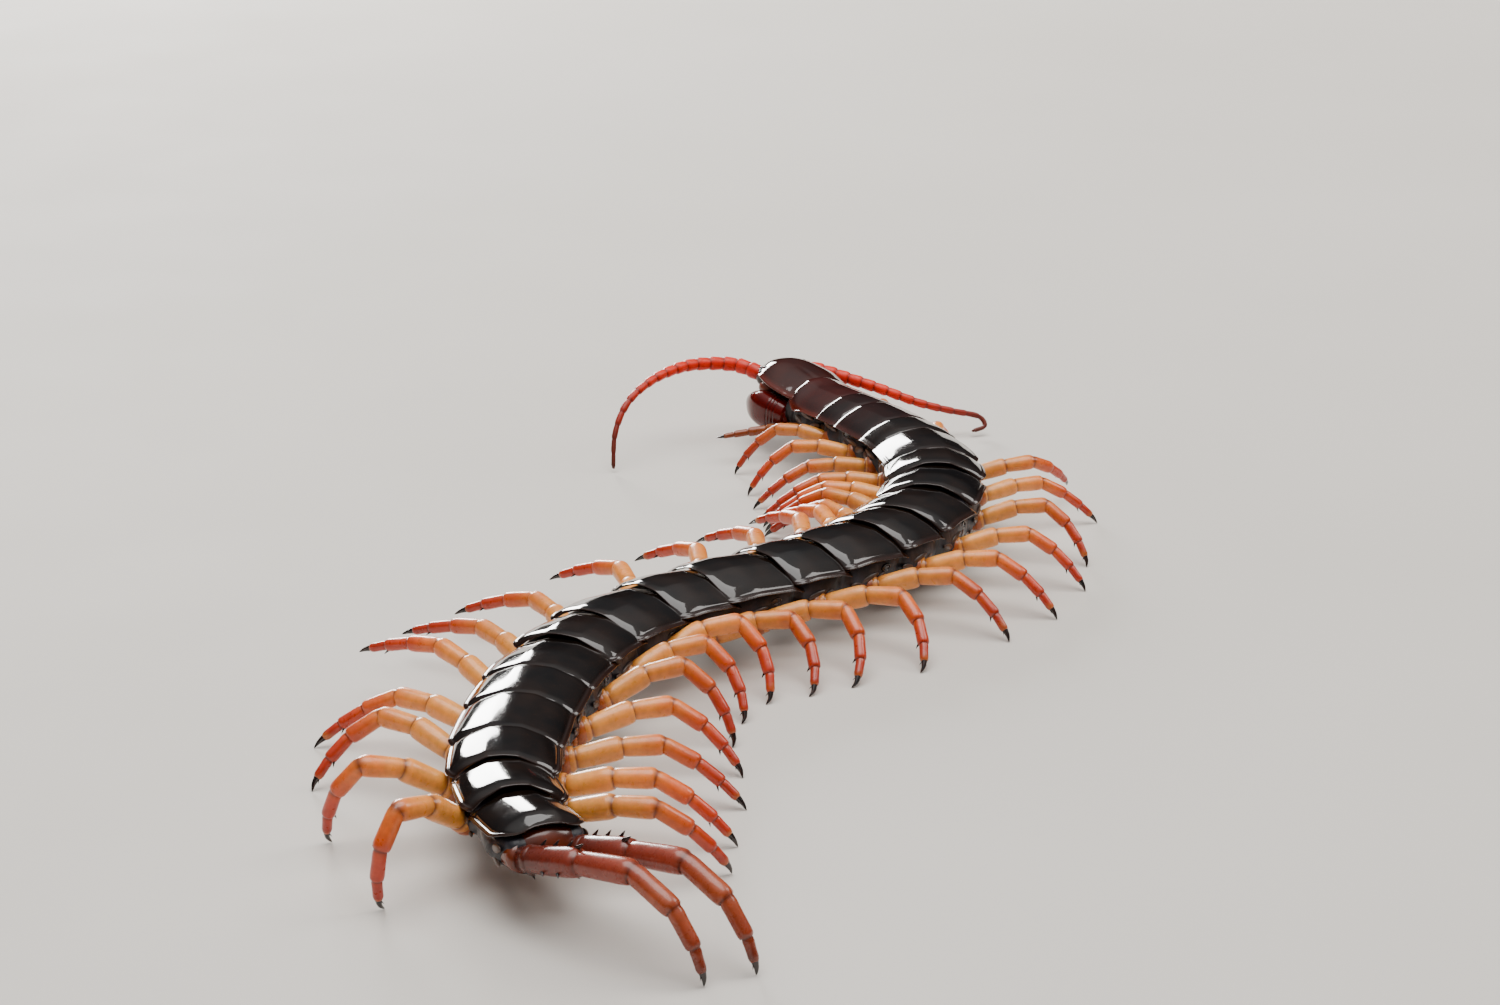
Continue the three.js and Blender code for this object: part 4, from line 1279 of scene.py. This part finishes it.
def make_eyes():
    shape = Shape()
    radii = np.array([1, 1, 0.72]) * OCELLUS_RADIUS
    for ahead, out in OCELLI:
        half, crest, arch = (head_value(ahead, column) for column in (1, 2, 3))
        height = head_top(out / half, ahead, crest, arch) - 0.05
        for sign in SIDES.values():
            outward = unit(HEAD_RIGHT * sign * 0.6 + UP * 0.8)
            axes = axes_round(outward, unit(np.cross(outward, HEAD_FORWARD)))
            shape.ball(head_point(sign * out, ahead, height), radii, axes, 9, 18)
    shape.make("ocelli", EYE, "head_plate")


def make_antenna(side_name):
    way = smooth_curve(ANTENNA_WAYS[side_name], 600)
    centres, radii, along, soft = [], [], [], []
    for article in range(ANTENNA_ARTICLES):
        for t, share, fold in ANTENNA_ROWS:
            place = (article + t) / ANTENNA_ARTICLES
            centres.append(way[round(place * 599)])
            radii.append(share * mix(*ANTENNA_RADII, place))
            along.append(place)
            soft.append(fold if article else 0.0)
    # Rounded tip
    direction = unit(way[-1] - way[-20])
    for turn in np.radians([20, 50, 75]):
        centres.append(way[-1] + direction * ANTENNA_RADII[1] * (math.sin(turn) - 1.0))
        radii.append(ANTENNA_RADII[1] * math.cos(turn))
        along.append(1.0)
        soft.append(0.0)
    shape = Shape()
    shape.tube(centres, radii, 20, along=along, joint=soft)
    shape.make(f"antenna_skin_{side_name}", ANTENNA, "antenna", [f"antenna_{side_name}"])


def make_forcipule(side_name):
    sign = SIDES[side_name]
    line = smooth_curve(FORCIPULE_WAY, 150)
    steps = np.linalg.norm(np.diff(line[:, :3], axis=0), axis=1)
    walked = np.concatenate([[0], np.cumsum(steps)]) / steps.sum()
    centres = [head_point(sign * side, ahead, height) for side, ahead, height, _, _ in line]
    radii = line[:, 3:5].copy()
    folds = np.zeros(len(line))
    for place, depth in FORCIPULE_FOLDS:
        pinch = np.exp(-(((walked - place) / 0.007) ** 2))
        radii *= (1 - depth * pinch)[:, None]
        folds = np.maximum(folds, 0.5 * pinch)
    dark = np.clip((walked - 0.7) / 0.22, 0, 1)
    shape = Shape()
    shape.tube(centres, radii, 32, edge=np.maximum(folds, dark), power=0.8)
    inward = -HEAD_RIGHT * sign
    tooth = head_point(sign * 2.6, 5.6, 4.7) - inward * 0.5
    dark = np.linspace(0.2, 1, 6)
    shape.spike(tooth, inward + HEAD_FORWARD * 0.5, 1.1, 0.5, rows=6, sides=12, edge=dark)
    shape.make(f"forcipule_shell_{side_name}", POISON_SHELL, "poison_claw", [f"forcipule_{side_name}"])


def make_coxosternite():
    shape, horn = Shape(), Shape()
    line = smooth_curve(COXOSTERNITE_SECTIONS, 30)
    rings, edges = [], []
    for i, (ahead, half, height, thick) in enumerate(line):
        ring = []
        shrink = 1.0 if 1 < i < len(line) - 2 else 0.93
        for k in range(48):
            a = 2 * math.pi * (k + 0.5) / 48
            out = boxy(math.cos(a), 0.6) * half * shrink
            rise = boxy(math.sin(a), 0.6) * thick * shrink
            groove = 0.12 * bell(out, 0.22) if rise < 0 else 0.0
            ring.append(head_point(out, ahead, height + rise + groove))
        rings.append(ring)
        edges.append(0.5 * smoothstep((ahead - 5.7) / 0.6))
    shape.rings(rings, edge=edges)
    for place in TOOTH_PLACES:
        for side in (-place, place):
            horn.spike(head_point(side, 5.95, 3.9), HEAD_FORWARD, 1.0, 0.33, rows=6, tip=0.3)
    shape.make("coxosternite_shell", POISON_SHELL, "poison_claw", ["coxosternite"])
    horn.make("tooth_plates", CLAW, "poison_claw")


def make_maxillae():
    shape, horn = Shape(), Shape()
    share = np.linspace(0, 1, 28)
    folds = sum(np.exp(-(((share - place) / 0.03) ** 2)) for place in (0.33, 0.66))
    for sign in SIDES.values():
        line = smooth_curve(np.array(PALP_WAY) * [sign, 1, 1, 1, 1], 28)
        centres = [head_point(*row[:3]) for row in line]
        shape.tube(centres, line[:, 3:5] * (1 - 0.12 * folds)[:, None], 18, edge=folds * 0.8)
        horn.spike(centres[-1], centres[-1] - centres[-4], 0.5, 0.13, rows=5, sides=8)
    axes = [HEAD_RIGHT, HEAD_FORWARD, UP]
    for (side, ahead, height), radii, rows, sides, dark in MOUTH_BALLS:
        for sign in SIDES.values():
            shape.ball(head_point(sign * side, ahead, height), radii, axes, rows, sides, edge=dark)
    shape.make("maxilla_palps", MOUTH, "mouthparts", ["maxillae"])
    horn.make("palp_claws", CLAW, "mouthparts")


make_camera()
make_floor()
make_sky()
for light in LIGHTS:
    make_light(*light)
for segment in range(SEGMENTS):
    make_tergite(segment)
make_skin()
make_sternites()
make_pleurites()
make_coxopleura()
make_head_plate()
make_cheeks()
make_eyes()
make_coxosternite()
make_maxillae()
for side_name in SIDES:
    make_antenna(side_name)
    make_forcipule(side_name)
    for segment in range(SEGMENTS - 1):
        make_walking_leg(side_name, segment)
    make_ultimate_leg(side_name)

bpy.context.view_layer.update()
